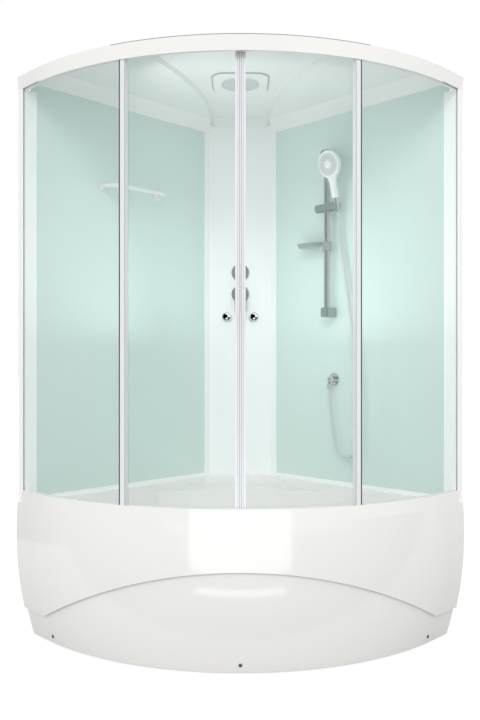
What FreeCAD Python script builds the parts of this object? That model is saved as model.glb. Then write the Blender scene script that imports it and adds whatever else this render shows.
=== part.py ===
import FreeCAD, Part
import math
import os

# Quarter-round corner shower cabin. Millimetres, +Z up, origin under the middle of the footprint.
# The room corner is at -X, +Y: one wall panel stands along X at the back, one along Y at the left.

V = FreeCAD.Vector
UP = V(0, 0, 1)
ROOT2 = math.sqrt(2.0)

# Plan
ARC_INSET = 104.0           # axis of the curved front, from each room wall
FRONT_RADIUS = 1088.0       # outer face of both curved rails
APRON_PROUD = 8.0           # fullest bulge of the apron beyond the rails
FIXED_EDGE_ANGLE = 21.6     # free edge of each fixed glass, from the middle of the front

# Heights
FLOOR_Z = 110.0             # inside floor of the tub
SEAT_Z = 485.0              # corner seat
TRAY_RIM_Z = 520.0
GLASS_OPENING = 1516.0      # clear height between the two rails
ROOF_RIM_DROP = 16.0        # wall rim of the roof, below the top of the upper rail
COVE_RISE = 45.0            # slanted band round the ceiling
VAULT_RISE = 20.0           # raised fan over the middle of the ceiling
INLET_RISE = 23.0           # inlet of the overhead shower, above the fan

# Rails
RAIL_HEIGHT = 46.0
RAIL_WALL = 2.5
TONGUE = 2.5                # upstanding lip that the rollers run on
TONGUE_HEIGHT = 6.5
TRACK_GAP = 5.0             # from the tongue to the glass channel
TRACK_LEDGE = 1.5
WEB_REACH = 6.5             # rail web inside the door glass

# Glass
GLASS = 5.0
GLAZING_SEAL = 3.5
DOOR_GAP = 6.5              # door glass to the track
DOOR_LAP = 0.25             # degrees that a closed door passes the fixed edge
DOOR_INSET = 30.0           # door glass inside each rail, from its open side
DOOR_TRAVEL = 17.5          # degrees
SEAT_GAP = 3.5              # glass end to the bottom of its channel
POST_CLEAR = 0.6

# Door furniture
ROLLER_ANGLES = (4.0, 19.5)
WHEEL_WIDTH = 7.0
WHEEL_RADIUS = 11.5
WHEEL_GROOVE = 9.0
GROOVE_SIDE = 0.5
AXLE_RADIUS = 3.0
RUN_CLEAR = 0.05
ROLL_GAP = 0.3
SHANK_RADIUS = 4.0
HOLE_CLEAR = 0.2
CURVE_CLEAR = 0.1           # flat washer on the hollow side of the glass
CAP_RADIUS = 13.0
CAP_DEPTH = 6.5
COLLAR_RADIUS = 8.0
HEAD_RADIUS = 4.5
HEAD_DEPTH = 1.6
SHOE_HALF = 14.0
KNOB_ANGLE = 2.4
KNOB_Z = 1200.0
KNOB_RADIUS = 16.0
KNOB_STAND = 27.0
KNOB_BASE = 10.0
KNOB_NECK = 6.0
SEAL_LIP = 2.5
MAGNET_WIDTH = 17.0
MEETING_GAP = 0.3
GLASS_BITE = 9.0
TRAIL_BITE = 4.0            # hold of the trailing seal on the door glass
EDGE_BITE = 15.0            # edge strip of the fixed glass, on the glass and beyond it
EDGE_LIP = 9.0
FIN = 4.0
STOP_CLEAR = 3.0
STOP_LENGTH = 13.0
STOP_HEIGHT = 9.5

# Walls
PANEL_FACE = 25.0           # coloured face, off the room wall
PANEL = 6.0
TRIM = 2.2
COLUMN_REACH = 232.0        # where the corner column's flat face meets each wall
COLUMN_FLANGE = 12.0
TRIM_LAP = 29.0             # width of the strip between column and panel
JOINT_WEB = 3.0
END_TRIM_WIDTH = 46.0
PANEL_LAP = 21.0
BOTTOM_TRIM = 16.0
PANEL_LIFT = 3.0

# Tub and apron
TRAY_WALL = 5.0
RIM_THICKNESS = 8.0
RIM_LIP = 31.0
TUB_LEDGE = 42.0
TUB_FRONT_LEDGE = 58.0
TUB_CORNER = 40.0
SEAT_FRONT = 415.0          # front edge of the seat, from the room corner on the diagonal
SEAT_BACK = 215.0
SEAT_LAP = 40.0
SEAT_CORNER = 30.0
TUB_LEVELS = ((60.0, 0.94), (18.0, 0.925), (0.0, 0.88))     # height over the floor, share of the plan
APRON_WALL = 4.0
APRON_LOW_Z = 113.0         # straight lower edge of the upper layer
APRON_BULGE_FALL = 89.0     # fullest point, below the upper edge
APRON_DROP = 33.0           # how far the upper layer tucks in at its lower edge
APRON_STEP = 11.0           # upper layer over lower layer
APRON_BELLY_Z = 420.0
APRON_BELLY_DROP = 63.0     # how far the lower layer tucks in at the floor
APRON_LAP = 40.0
APRON_FLANGE = 16.0
FLOOR_CLEAR = 3.0
ARCH_TOP_Z = 360.0
ARCH_RADIUS = 1180.0

# Frame under the tub
TUBE = 25.0
CROSS_SETBACK = 49.5        # cross tube, behind the line between the two outer ends of the walls
CROSS_END_GAP = 158.5       # its ends, from those outer ends along that line
RUNNER_U = 150.0
FRONT_TUBE_INSET = 160.0    # front tube, inside the outer face of the rails
FOOT_INSET = 45.0
FOOT_RADIUS = 25.0
FOOT_PAD = 10.0
STUD_RADIUS = 6.0
LOCKNUT_RADIUS = 11.0
LOCKNUT_HEIGHT = 10.0
BRACKET = 3.0
BRACKET_HALF = 15.0
BRACKET_FOOT_Z = 14.0
SCREW_ANGLES = (-42.5, 0.0, 42.5)
SCREW_Z = 31.0
SCREW_HEAD = 7.0
SCREW_HEAD_DEPTH = 3.5
SCREW_RADIUS = 2.5
SCREW_CLEAR = 0.2

# Waste
DRAIN_V = 650.0
DRAIN_RADIUS = 25.0
DRAIN_FLANGE = 42.0
FLANGE_DEPTH = 3.0
DRAIN_WALL = 3.0
DRAIN_DEPTH = 42.0
SPIDER_HUB = 8.0
SPIDER_DEPTH = 12.0
SPIDER_WEB = 4.0
CAP_DISC = 34.0
CAP_THICKNESS = 6.0
CAP_STAND = 0.3
CAP_STEM = 4.0
TRAP_RADIUS = 45.0
TRAP_FOOT_Z = 22.0
OUTLET_RADIUS = 20.0
OUTLET_WALL = 2.5
OUTLET_LENGTH = 60.0
OUTLET_COLLAR = 23.5
OUTLET_Z = 46.0

# Roof and overhead shower
ROOF_WALL = 4.0
ROOF_INSET = 2.0
COVE_RUN = 60.0
COLUMN_COVE = 25.0
FRONT_COVE = 46.0
FAN_BACK = 141.0            # half widths of the fan
FAN_MIDDLE = 219.0
FAN_FRONT = 364.0
FAN_MIDDLE_V = 700.0
FAN_BASE_DROP = 19.0
FAN_SLOPE = 16.0
FAN_FRONT_SLOPE = 30.0
FAN_FRONT_INSET = 133.0
HEAD_V = 655.0
HEAD_HALF = 110.0
HEAD_CORNER = 48.0
HEAD_THICKNESS = 7.0
NOZZLE_RADIUS = 80.0
NOZZLE_DEPTH = 1.5
NOZZLE_SEAT = 3.0
INLET_RADIUS = 10.0
INLET_HEAD = 16.0           # round fitting on the roof that the pipe runs into

# Valve in the column
MIXER_Z = 1363.0
DIVERTER_RISE = 100.0       # diverter above the mixer
PLATE_RADIUS = 42.0
PLATE_DEPTH = 8.0
VALVE_V = 140.0
VALVE_RADIUS = 16.0
BOSS_RADIUS = 20.0
BOSS_FLANGE = 28.0
BOSS_FLANGE_DEPTH = 5.0
SPINDLE_RADIUS = 9.0
CROSSBAR_RADIUS = 14.0
INLET_SPACING = 80.0
NIPPLE_RADIUS = 10.48
NIPPLE_LENGTH = 22.0
NIPPLE_COLLAR = 13.0
VALVE_TAIL = 4.0            # valve body beyond its bosses
STEM_RADIUS = 21.0
STEM_DEPTH = 14.0
BALL_RADIUS = 16.5
BALL_GAP = 0.3
CUP_FLOOR = 2.0             # bottom of the cup that the lever's ball sits in
LEVER_LENGTH = 86.0
LEVER_HALF = 26.0
LEVER_THICKNESS = 7.0
LEVER_STAND = 18.0          # front of the lever, from the middle of its ball
LEVER_CORNER = 8.0
DIVERTER_RADIUS = 24.0
DIVERTER_DEPTH = 26.0
GRIP_LOBES = 4
GRIP_RADIUS = 9.0

# Supply pipes
RAIN_PIPE = 8.0
HAND_PIPE = 6.0
PIPE_BEND = 30.0
HAND_PIPE_T = 9.5

# Hand shower on the back wall: s along the wall from the corner, t off the room wall
RISER_S = 594.0
RISER_T = 70.0
RISER_RADIUS = 13.0
RISER_LOW_Z = 1261.0        # middle of each bracket
RISER_HIGH_Z = 1934.0
BLOCK_HALF = 21.0
BLOCK_HEIGHT = 42.0
BLOCK_ROUND = 7.0
BLOCK_FLOOR = 5.0           # bracket beyond the end of the rail
SLIDER_Z = 1709.0
BARREL_RADIUS = 19.0
BARREL_LEFT = 56.0
BARREL_RIGHT = 24.0
PIVOT_RADIUS = 7.0
PIVOT_LENGTH = 10.0
PIVOT_GAP = 0.3
HOLDER_LENGTH = 36.0        # ends inside the socket, which is open on that side
SOCKET_OFFSET = 54.0        # handset axis, from the riser along the wall
HANDSET_LEAN = 15.0         # degrees into the cabin
CONE_LOW = 9.0
CONE_HIGH = 12.0
CONE_DOWN = 24.0
CONE_UP = 35.0
SOCKET_CLEAR = 0.3
HANDLE_LOW = 15.0
HANDLE_HIGH = 16.0
HANDLE_TOP = 92.0
NECK_FLARE = 22.0           # neck beyond the handle, where it runs into the head
HEAD_CENTRE = 175.0
SPRAY_RADIUS = 52.0
SPRAY_STRETCH = 5.0         # head taller than wide, each way
SPRAY_FRONT = 16.0
SPRAY_BACK = 9.0
SPRAY_ROUND = 7.0
SPRAY_EDGE = 2.5
FACE_RADIUS = 46.0
FACE_SEAT = 2.0
FACE_PROUD = 1.0
FACE_BUTTON = 22.0

# Soap dish on the riser
DISH_Z = 1554.5
DISH_OFFSET = 93.0          # middle of the dish, from the riser towards the corner
DISH_HALF_S = 65.0
DISH_HALF_T = 35.0
DISH_DEPTH = 19.0
DISH_FOOT = 0.82            # bottom of the dish, share of its rim
DISH_WALL = 3.0
DISH_DRAIN = 3.0
CLIP_RADIUS = 19.0
CLIP_HEIGHT = 41.0
CLIP_ARM = 9.0

# Wall outlet and hose
ELBOW_S = 600.0
ELBOW_Z = 974.0
ELBOW_PLATE = 26.5
ELBOW_PLATE_DEPTH = 6.0
ELBOW_RADIUS = 13.0
ELBOW_TAIL = 10.0
ELBOW_T = 57.0
ELBOW_DROP = 20.0
NUT_RADIUS = 12.5
NUT_HEIGHT = 20.0
HOSE_RADIUS = 6.5
HOSE_BORE = 4.0
HOSE_POINTS = (             # s, t, z below the handset and above the outlet nut
    (656.0, 45.0, 1545.0),
    (676.0, 47.0, 1424.0),
    (705.0, 52.0, 1268.0),
    (733.0, 57.0, 1112.0),
    (750.0, 60.0, 962.0),
    (755.0, 61.0, 832.0),
    (753.5, 60.0, 742.0),
    (752.0, 60.0, 684.0),
    (718.0, 60.0, 650.0),
    (670.0, 60.0, 650.0),
    (636.0, 60.0, 684.0),
    (626.0, 59.0, 746.0),
    (612.0, 58.0, 815.0),
    (600.0, 57.0, 878.0),
)
HOSE_FIRST_RUN = 60.0
HOSE_ARC_SHARE = 0.45

# Towel bar on the left wall
BAR_Z = 1768.0
BAR_START = 541.0
BAR_END = 828.0
BAR_T = 97.0
BAR_RADIUS = 8.0
BAR_BEND = 46.0
BAR_ROSE = 15.0
BAR_ROSE_DEPTH = 5.0

# Places worked out from the sizes above
FOOTPRINT = ARC_INSET + FRONT_RADIUS + APRON_PROUD
CORNER = V(-FOOTPRINT / 2, FOOTPRINT / 2, 0)
ARC_AXIS = CORNER + V(ARC_INSET, -ARC_INSET, 0)
DIAGONAL_TO_AXIS = ARC_INSET * ROOT2

LOW_RAIL_TOP = TRAY_RIM_Z + RAIL_HEIGHT
HIGH_RAIL_LOW = LOW_RAIL_TOP + GLASS_OPENING
HIGH_RAIL_TOP = HIGH_RAIL_LOW + RAIL_HEIGHT
PANEL_TOP = HIGH_RAIL_TOP - ROOF_RIM_DROP
CEILING_Z = PANEL_TOP + COVE_RISE
VAULT_Z = CEILING_Z + VAULT_RISE
ROOF_TOP_Z = VAULT_Z + ROOF_WALL
INLET_TOP_Z = VAULT_Z + INLET_RISE

CHANNEL_OUT = FRONT_RADIUS - RAIL_WALL
FIXED_OUT = CHANNEL_OUT - GLAZING_SEAL
FIXED_IN = FIXED_OUT - GLASS
CHANNEL_IN = FIXED_IN - GLAZING_SEAL
TRACK_OUT = CHANNEL_IN - RAIL_WALL
TONGUE_OUT = TRACK_OUT - TRACK_GAP
TONGUE_IN = TONGUE_OUT - TONGUE
LEDGE_IN = TONGUE_IN - TRACK_LEDGE
DOOR_OUT = LEDGE_IN - DOOR_GAP
DOOR_IN = DOOR_OUT - GLASS
WEB_IN = DOOR_IN - WEB_REACH
WHEEL_MID = (TONGUE_OUT + TONGUE_IN) / 2
AXLE_RISE = RAIL_WALL + TONGUE_HEIGHT + ROLL_GAP + WHEEL_GROOVE

PANEL_BACK = PANEL_FACE - PANEL
TRIM_FACE = PANEL_FACE + TRIM
COLUMN_V = (COLUMN_REACH + PANEL_FACE) / ROOT2
COLUMN_BACK_V = COLUMN_V - PANEL
POST_IN_S = ARC_INSET + TRACK_OUT
POST_OUT_S = ARC_INSET + FRONT_RADIUS
END_TRIM_S = POST_IN_S - END_TRIM_WIDTH
PANEL_START_S = COLUMN_REACH + COLUMN_FLANGE + JOINT_WEB
PANEL_END_S = END_TRIM_S + PANEL_LAP
TRIM_END_S = COLUMN_REACH + TRIM_LAP

TUB_RADIUS = FRONT_RADIUS - TUB_FRONT_LEDGE
FLOOR_UNDER = FLOOR_Z - TRAY_WALL
TUBE_LOW = FLOOR_UNDER - TUBE
APRON_TOP = TRAY_RIM_Z - RIM_LIP
APRON_MAX = FRONT_RADIUS + APRON_PROUD
APRON_BULGE_Z = APRON_TOP - APRON_BULGE_FALL
CROSS_V = FOOTPRINT / ROOT2 - CROSS_SETBACK
CROSS_HALF = FOOTPRINT / ROOT2 - CROSS_END_GAP
RUNNER_BACK_V = SEAT_BACK
RUNNER_FRONT_V = DIAGONAL_TO_AXIS + FRONT_RADIUS - FRONT_TUBE_INSET
DIVERTER_Z = MIXER_Z + DIVERTER_RISE
HAND_PIPE_Z = MIXER_Z + DIVERTER_RISE / 2
SOCKET_S = RISER_S + SOCKET_OFFSET
DISH_S = RISER_S - DISH_OFFSET


# Basic forms
def box(low, high):
    return Part.makeBox(high[0] - low[0], high[1] - low[1], high[2] - low[2], V(*low))


def rod(start, direction, radius, length):
    return Part.makeCylinder(radius, length, start, direction)


def polygon(points):
    return Part.Face(Part.makePolygon(points + points[:1]))


def line(start, end):
    return Part.LineSegment(start, end).toShape()


def arc(start, middle, end):
    return Part.Arc(start, middle, end).toShape()


def turned(profile):
    # A lathe form about the X axis from (x, radius) points.
    face = polygon([V(x, radius, 0) for x, radius in profile])
    return face.revolve(V(), V(1, 0, 0), 360)


def lathe(edges):
    # The same from edges, for profiles with arcs.
    return Part.Face(Part.Wire(edges)).revolve(V(), V(1, 0, 0), 360)


def ball(centre, radius):
    half = [arc(V(-radius, 0, 0), V(0, radius, 0), V(radius, 0, 0)), line(V(radius, 0, 0), V(-radius, 0, 0))]
    return lathe(half).translated(centre)


def hexagon(radius, height):
    corners = [V(radius * math.cos(math.radians(60 * k)), radius * math.sin(math.radians(60 * k)), 0)
               for k in range(6)]
    return polygon(corners).extrude(V(0, 0, height))


def loft(wires):
    return Part.makeLoft(wires, True, True)


# Places
def at_front(shape, angle):
    # From x outwards, y to the right of the front, to an angle on the curved front.
    return shape.rotated(V(), UP, angle - 45).translated(ARC_AXIS)


def at_column(shape):
    # From x along the diagonal out of the room corner, y to the right, to the cabin.
    return shape.rotated(V(), UP, -45).translated(CORNER)


def at_back_wall(shape):
    return shape.translated(CORNER)


def mirrored(shape):
    # The other half of the cabin, across its diagonal.
    return shape.mirror(CORNER, V(1, 1, 0))


def wall_point(s, t, z):
    return V(s, -t, z)


def wall_block(s, t, z):
    # A block on the back wall from its limits along the wall, off the wall and up.
    return box((s[0], -t[1], z[0]), (s[1], -t[0], z[1]))


def both_sides(solids):
    return Part.Compound(solids + [mirrored(solid) for solid in solids])


# Forms that follow the curved front
def section(points):
    return polygon([V(radius, 0, z) for radius, z in points])


def round_the_front(face, wall_gap):
    # Along one wall end, round the quarter circle and along the other wall end.
    reach = ARC_INSET - wall_gap
    start = face.rotated(V(), UP, -90)
    curve = start.revolve(V(), UP, 90)
    left = start.extrude(V(-reach, 0, 0))
    right = face.extrude(V(0, reach, 0))
    return curve.fuse([left, right]).removeSplitter().translated(ARC_AXIS)


def band(radii, heights, angles):
    # A curved plate between two radii, two heights and two angles from the middle of the front.
    face = section([(radii[0], heights[0]), (radii[1], heights[0]),
                    (radii[1], heights[1]), (radii[0], heights[1])])
    curve = face.rotated(V(), UP, angles[0]).revolve(V(), UP, angles[1] - angles[0])
    return at_front(curve, 0)


def band_to_wall(radii, heights, angle, wall_gap):
    # A curved plate from an angle to the end of the arc, then straight to the back wall.
    straight = box((radii[0], 0, heights[0]), (radii[1], ARC_INSET - wall_gap, heights[1]))
    curve = band(radii, heights, (angle, 45))
    return curve.fuse(straight.translated(ARC_AXIS)).removeSplitter()


def degrees_of(length, radius):
    return math.degrees(length / radius)


# Plan outlines
def plan_point(p, q, z):
    return CORNER + V(p, -q, z)


def round_corner(before, corner, after, radius):
    to_before = (before - corner).normalize()
    to_after = (after - corner).normalize()
    half = to_before.getAngle(to_after) / 2
    reach = radius / math.tan(half)
    inward = (to_before + to_after).normalize()
    middle = corner + inward * (radius / math.sin(half) - radius)
    return corner + to_before * reach, middle, corner + to_after * reach


def plan_outline(inset, radius, z, column_v=None, rounding=0.0):
    # Two walls, an optional flat across the room corner, and the curved front.
    far = ARC_INSET + radius
    if column_v is None:
        corners = [plan_point(inset, inset, z)]
    else:
        reach = column_v * ROOT2 - inset
        corners = [plan_point(inset, reach, z), plan_point(reach, inset, z)]
    arc_start = plan_point(far, ARC_INSET, z)
    arc_end = plan_point(ARC_INSET, far, z)
    route = [arc_end, plan_point(inset, far, z)] + corners + [plan_point(far, inset, z), arc_start]
    edges = []
    here = arc_end
    for before, corner, after in zip(route, route[1:], route[2:]):
        if rounding:
            start, middle, end = round_corner(before, corner, after, rounding)
            edges.append(line(here, start))
            edges.append(arc(start, middle, end))
            here = end
        else:
            edges.append(line(here, corner))
            here = corner
    edges.append(line(here, arc_start))
    belly = ARC_INSET + radius / ROOT2
    edges.append(arc(arc_start, plan_point(belly, belly, z), arc_end))
    return Part.Wire(edges)


def plan_slab(inset, radius, low, high):
    return Part.Face(plan_outline(inset, radius, low)).extrude(V(0, 0, high - low))


# Round bars and pipes along straight runs with bends
def bent_path(points, radius_at):
    edges = []
    here = points[0]
    for before, corner, after in zip(points, points[1:], points[2:]):
        start, middle, end = round_corner(before, corner, after, radius_at(before, corner, after))
        edges.append(line(here, start))
        edges.append(arc(start, middle, end))
        here = end
    edges.append(line(here, points[-1]))
    return Part.Wire(edges)


def round_bar(points, radius, radius_at):
    path = bent_path(points, radius_at)
    circle = Part.Circle(points[0], points[1] - points[0], radius).toShape()
    return path.makePipeShell([Part.Wire(circle)], True, False)


def steady_bend(size):
    return lambda before, corner, after: size


# Tub
def tub_body(grow, floor_z):
    # The bathing hollow, or its outside when grown by the wall.
    middle = CORNER + V(FOOTPRINT / 2, -FOOTPRINT / 2, 0)
    rim = plan_outline(TUB_LEDGE - grow, TUB_RADIUS + grow, 0, SEAT_FRONT - grow, TUB_CORNER + grow)
    wires = [rim.translated(V(0, 0, TRAY_RIM_Z))]
    for rise, share in TUB_LEVELS:
        wires.append(rim.scaled(share, middle).translated(V(0, 0, floor_z + rise)))
    return loft(wires)


def seat_body(grow, low):
    inset = TUB_LEDGE - grow
    front = (SEAT_FRONT + SEAT_LAP) * ROOT2 - inset
    back = (SEAT_BACK - grow) * ROOT2 - inset
    corners = [plan_point(inset, front, low), plan_point(inset, back, low),
               plan_point(back, inset, low), plan_point(front, inset, low)]
    height = V(0, 0, TRAY_RIM_Z - low)
    block = polygon(corners).extrude(height)
    middles = [point + height * 0.5 for point in corners[1:3]]
    back_edges = [edge for edge in block.Edges
                  if min((edge.CenterOfMass - middle).Length for middle in middles) < 0.01]
    return block.makeFillet(SEAT_CORNER + grow, back_edges)


def tray():
    rim = plan_slab(0, FRONT_RADIUS, TRAY_RIM_Z - RIM_THICKNESS, TRAY_RIM_Z)
    lip_face = section([(FRONT_RADIUS - TRAY_WALL, APRON_TOP), (crest_layer(APRON_TOP), APRON_TOP),
                        (crest_layer(TRAY_RIM_Z), TRAY_RIM_Z), (FRONT_RADIUS - TRAY_WALL, TRAY_RIM_Z)])
    outside = rim.fuse([round_the_front(lip_face, 0), tub_body(TRAY_WALL, FLOOR_UNDER),
                        seat_body(TRAY_WALL, SEAT_Z - TRAY_WALL)])
    hole = at_column(rod(V(DRAIN_V, 0, 0), UP, DRAIN_RADIUS, TRAY_RIM_Z))
    return outside.cut([tub_body(0, FLOOR_Z), seat_body(0, SEAT_Z), hole]).removeSplitter()


# Apron
def bulge(most, middle_z, drop, low_z):
    # Radius at a height for a circular bulge that loses drop between middle_z and low_z.
    size = ((middle_z - low_z) ** 2 + drop ** 2) / (2 * drop)
    return lambda z: most - size + math.sqrt(size ** 2 - (z - middle_z) ** 2)


upper_layer = bulge(APRON_MAX, APRON_BULGE_Z, APRON_DROP, APRON_LOW_Z)
crest_layer = bulge(APRON_MAX, APRON_BULGE_Z, APRON_PROUD, LOW_RAIL_TOP)
lower_layer = bulge(APRON_MAX - APRON_STEP, APRON_BELLY_Z, APRON_BELLY_DROP, FLOOR_CLEAR)
RAIL_FLARE = crest_layer(TRAY_RIM_Z) - FRONT_RADIUS     # the low rail carries on the apron's curve


def profile_arc(radius_at, low, high, back=0.0):
    heights = (low, (low + high) / 2, high)
    return arc(*[V(radius_at(z) - back, 0, z) for z in heights])


def apron_region(low, high, back):
    # From well inside out to the upper layer, set back by a wall.
    inner = upper_layer(low) - APRON_DROP
    start = V(upper_layer(low) - back, 0, low)
    end = V(crest_layer(high) - back, 0, high)
    edges = [profile_arc(upper_layer, low, APRON_BULGE_Z, back),
             profile_arc(crest_layer, APRON_BULGE_Z, high, back), line(end, V(inner, 0, high)),
             line(V(inner, 0, high), V(inner, 0, low)), line(V(inner, 0, low), start)]
    return round_the_front(Part.Face(Part.Wire(edges)), 0)


def upper_solid():
    # Between the two layers, with the flange that tucks under the tray.
    lap_z = APRON_BELLY_Z + APRON_LAP
    flange = V(crest_layer(APRON_TOP) - APRON_FLANGE, 0, APRON_TOP)
    edges = [profile_arc(upper_layer, APRON_LOW_Z, APRON_BULGE_Z),
             profile_arc(crest_layer, APRON_BULGE_Z, APRON_TOP),
             line(V(crest_layer(APRON_TOP), 0, APRON_TOP), flange),
             line(flange, V(lower_layer(lap_z), 0, lap_z)),
             profile_arc(lower_layer, APRON_LOW_Z, lap_z),
             line(V(lower_layer(APRON_LOW_Z), 0, APRON_LOW_Z), V(upper_layer(APRON_LOW_Z), 0, APRON_LOW_Z))]
    return round_the_front(Part.Face(Part.Wire(Part.__sortEdges__(edges))), 0)


def lower_shell():
    lap_z = APRON_BELLY_Z + APRON_LAP
    outside = profile_arc(lower_layer, FLOOR_CLEAR, lap_z)
    inside = profile_arc(lower_layer, FLOOR_CLEAR, lap_z, APRON_WALL)
    ends = [line(V(lower_layer(z), 0, z), V(lower_layer(z) - APRON_WALL, 0, z)) for z in (FLOOR_CLEAR, lap_z)]
    return round_the_front(Part.Face(Part.Wire(Part.__sortEdges__([outside, inside] + ends))), 0)


def arch(radius):
    # A wide drum lying along the diagonal, whose top is the arch of the upper layer.
    return at_column(rod(V(0, 0, ARCH_TOP_Z - ARCH_RADIUS), V(1, 0, 0), radius, FOOTPRINT * ROOT2))


def screw_seat_radius():
    return lower_layer(SCREW_Z - SCREW_HEAD)


def apron():
    skin = upper_solid().cut(arch(ARCH_RADIUS))
    hollow = apron_region(APRON_LOW_Z + APRON_WALL, APRON_TOP - APRON_WALL, APRON_WALL)
    skin = skin.cut(hollow.cut(arch(ARCH_RADIUS + APRON_WALL)))
    whole = skin.fuse(lower_shell())
    cuts = []
    for angle in SCREW_ANGLES:
        seat = screw_seat_radius()
        pocket = rod(V(seat, 0, SCREW_Z), V(1, 0, 0), SCREW_HEAD + SCREW_CLEAR, APRON_DROP)
        hole = rod(V(seat - APRON_DROP, 0, SCREW_Z), V(1, 0, 0), SCREW_RADIUS + SCREW_CLEAR, APRON_DROP)
        cuts.append(at_front(pocket.fuse(hole), angle))
    return whole.cut(cuts).removeSplitter()


def bracket_radius():
    # The upright leg stands just inside the apron at its lowest point.
    return lower_layer(BRACKET_FOOT_Z) - APRON_WALL - BRACKET


def apron_screws():
    seat = screw_seat_radius()
    reach = seat - bracket_radius() + 2 * BRACKET
    head = rod(V(seat, 0, SCREW_Z), V(1, 0, 0), SCREW_HEAD, SCREW_HEAD_DEPTH)
    rim = [edge for edge in head.Edges if abs(edge.CenterOfMass.x - seat - SCREW_HEAD_DEPTH) < 0.01]
    head = head.makeFillet(SCREW_HEAD_DEPTH * 0.7, rim)
    screw = head.fuse(rod(V(seat - reach, 0, SCREW_Z), V(1, 0, 0), SCREW_RADIUS, reach))
    return Part.Compound([at_front(screw, angle) for angle in SCREW_ANGLES])


def apron_brackets():
    outer = bracket_radius()
    arms = []
    for angle in SCREW_ANGLES:
        # The arm starts on the front tube in the middle and on the cross tube at the sides.
        if angle == 0:
            start = RUNNER_FRONT_V - DIAGONAL_TO_AXIS
        else:
            start = (CROSS_V - TUBE / 2 - DIAGONAL_TO_AXIS) / math.cos(math.radians(angle))
        arm = box((start, -BRACKET_HALF, TUBE_LOW - BRACKET), (outer, BRACKET_HALF, TUBE_LOW))
        leg = box((outer - BRACKET, -BRACKET_HALF, BRACKET_FOOT_Z), (outer, BRACKET_HALF, TUBE_LOW))
        hole = rod(V(start, 0, SCREW_Z), V(1, 0, 0), SCREW_RADIUS, outer)
        arms.append(at_front(arm.fuse(leg).cut(hole).removeSplitter(), angle))
    return Part.Compound(arms)


# Frame and feet
def tube_along(start, end):
    # A square bar between two points (v, u) of the diagonal plan, lying on one of its axes.
    low = (min(start[0], end[0]), min(start[1], end[1]), TUBE_LOW)
    high = (max(start[0], end[0]), max(start[1], end[1]), FLOOR_UNDER)
    return box(low, high)


def tray_frame():
    half = TUBE / 2
    tubes = [tube_along((CROSS_V - half, -CROSS_HALF), (CROSS_V + half, CROSS_HALF)),
             tube_along((RUNNER_FRONT_V, -RUNNER_U - half), (RUNNER_FRONT_V + TUBE, RUNNER_U + half))]
    for side in (-RUNNER_U, RUNNER_U):
        tubes.append(tube_along((RUNNER_BACK_V, side - half), (CROSS_V - half, side + half)))
        tubes.append(tube_along((CROSS_V + half, side - half), (RUNNER_FRONT_V, side + half)))
        tubes.append(box((RUNNER_BACK_V, side - half, FLOOR_UNDER),
                         (RUNNER_BACK_V + TUBE, side + half, SEAT_Z - TRAY_WALL)))
    return Part.Compound([at_column(tube) for tube in tubes])


def levelling_feet():
    feet = []
    places = [(CROSS_V, side * (CROSS_HALF - FOOT_INSET)) for side in (-1, 1)]
    for v in (RUNNER_BACK_V + FOOT_INSET, RUNNER_FRONT_V - FOOT_INSET):
        places += [(v, -RUNNER_U), (v, RUNNER_U)]
    for v, u in places:
        base = V(v, u, 0)
        pad = Part.makeCone(FOOT_RADIUS, LOCKNUT_RADIUS, FOOT_PAD, base)
        stud = rod(base + V(0, 0, FOOT_PAD), UP, STUD_RADIUS, TUBE_LOW - FOOT_PAD)
        nut = hexagon(LOCKNUT_RADIUS, LOCKNUT_HEIGHT).translated(base + V(0, 0, TUBE_LOW - LOCKNUT_HEIGHT))
        feet.append(at_column(pad.fuse([stud, nut]).removeSplitter()))
    return Part.Compound(feet)


# Waste
def drain_flange():
    rim = rod(V(DRAIN_V, 0, FLOOR_Z), UP, DRAIN_FLANGE, FLANGE_DEPTH)
    tail = rod(V(DRAIN_V, 0, FLOOR_Z - DRAIN_DEPTH), UP, DRAIN_RADIUS, DRAIN_DEPTH)
    bore = rod(V(DRAIN_V, 0, 0), UP, DRAIN_RADIUS - DRAIN_WALL, 2 * FLOOR_Z)
    hub_z = FLOOR_Z - SPIDER_DEPTH
    hub = rod(V(DRAIN_V, 0, hub_z), UP, SPIDER_HUB, SPIDER_DEPTH)
    reach = DRAIN_RADIUS - DRAIN_WALL / 2
    webs = [box((DRAIN_V, -SPIDER_WEB / 2, hub_z), (DRAIN_V + reach, SPIDER_WEB / 2, FLOOR_Z))
            .rotated(V(DRAIN_V, 0, 0), UP, 120 * k) for k in range(3)]
    guide = rod(V(DRAIN_V, 0, 0), UP, CAP_STEM + RUN_CLEAR, 2 * FLOOR_Z)
    return at_column(rim.fuse(tail).cut(bore).fuse([hub] + webs).cut(guide).removeSplitter())


def drain_cap():
    low = FLOOR_Z + FLANGE_DEPTH + CAP_STAND
    disc = rod(V(DRAIN_V, 0, low), UP, CAP_DISC, CAP_THICKNESS)
    rim = [edge for edge in disc.Edges if abs(edge.CenterOfMass.z - low - CAP_THICKNESS) < 0.01]
    disc = disc.makeFillet(CAP_THICKNESS * 0.7, rim)
    stem_low = FLOOR_Z - DRAIN_DEPTH
    stem = rod(V(DRAIN_V, 0, stem_low), UP, CAP_STEM, low - stem_low)
    return at_column(disc.fuse(stem).removeSplitter())


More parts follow.
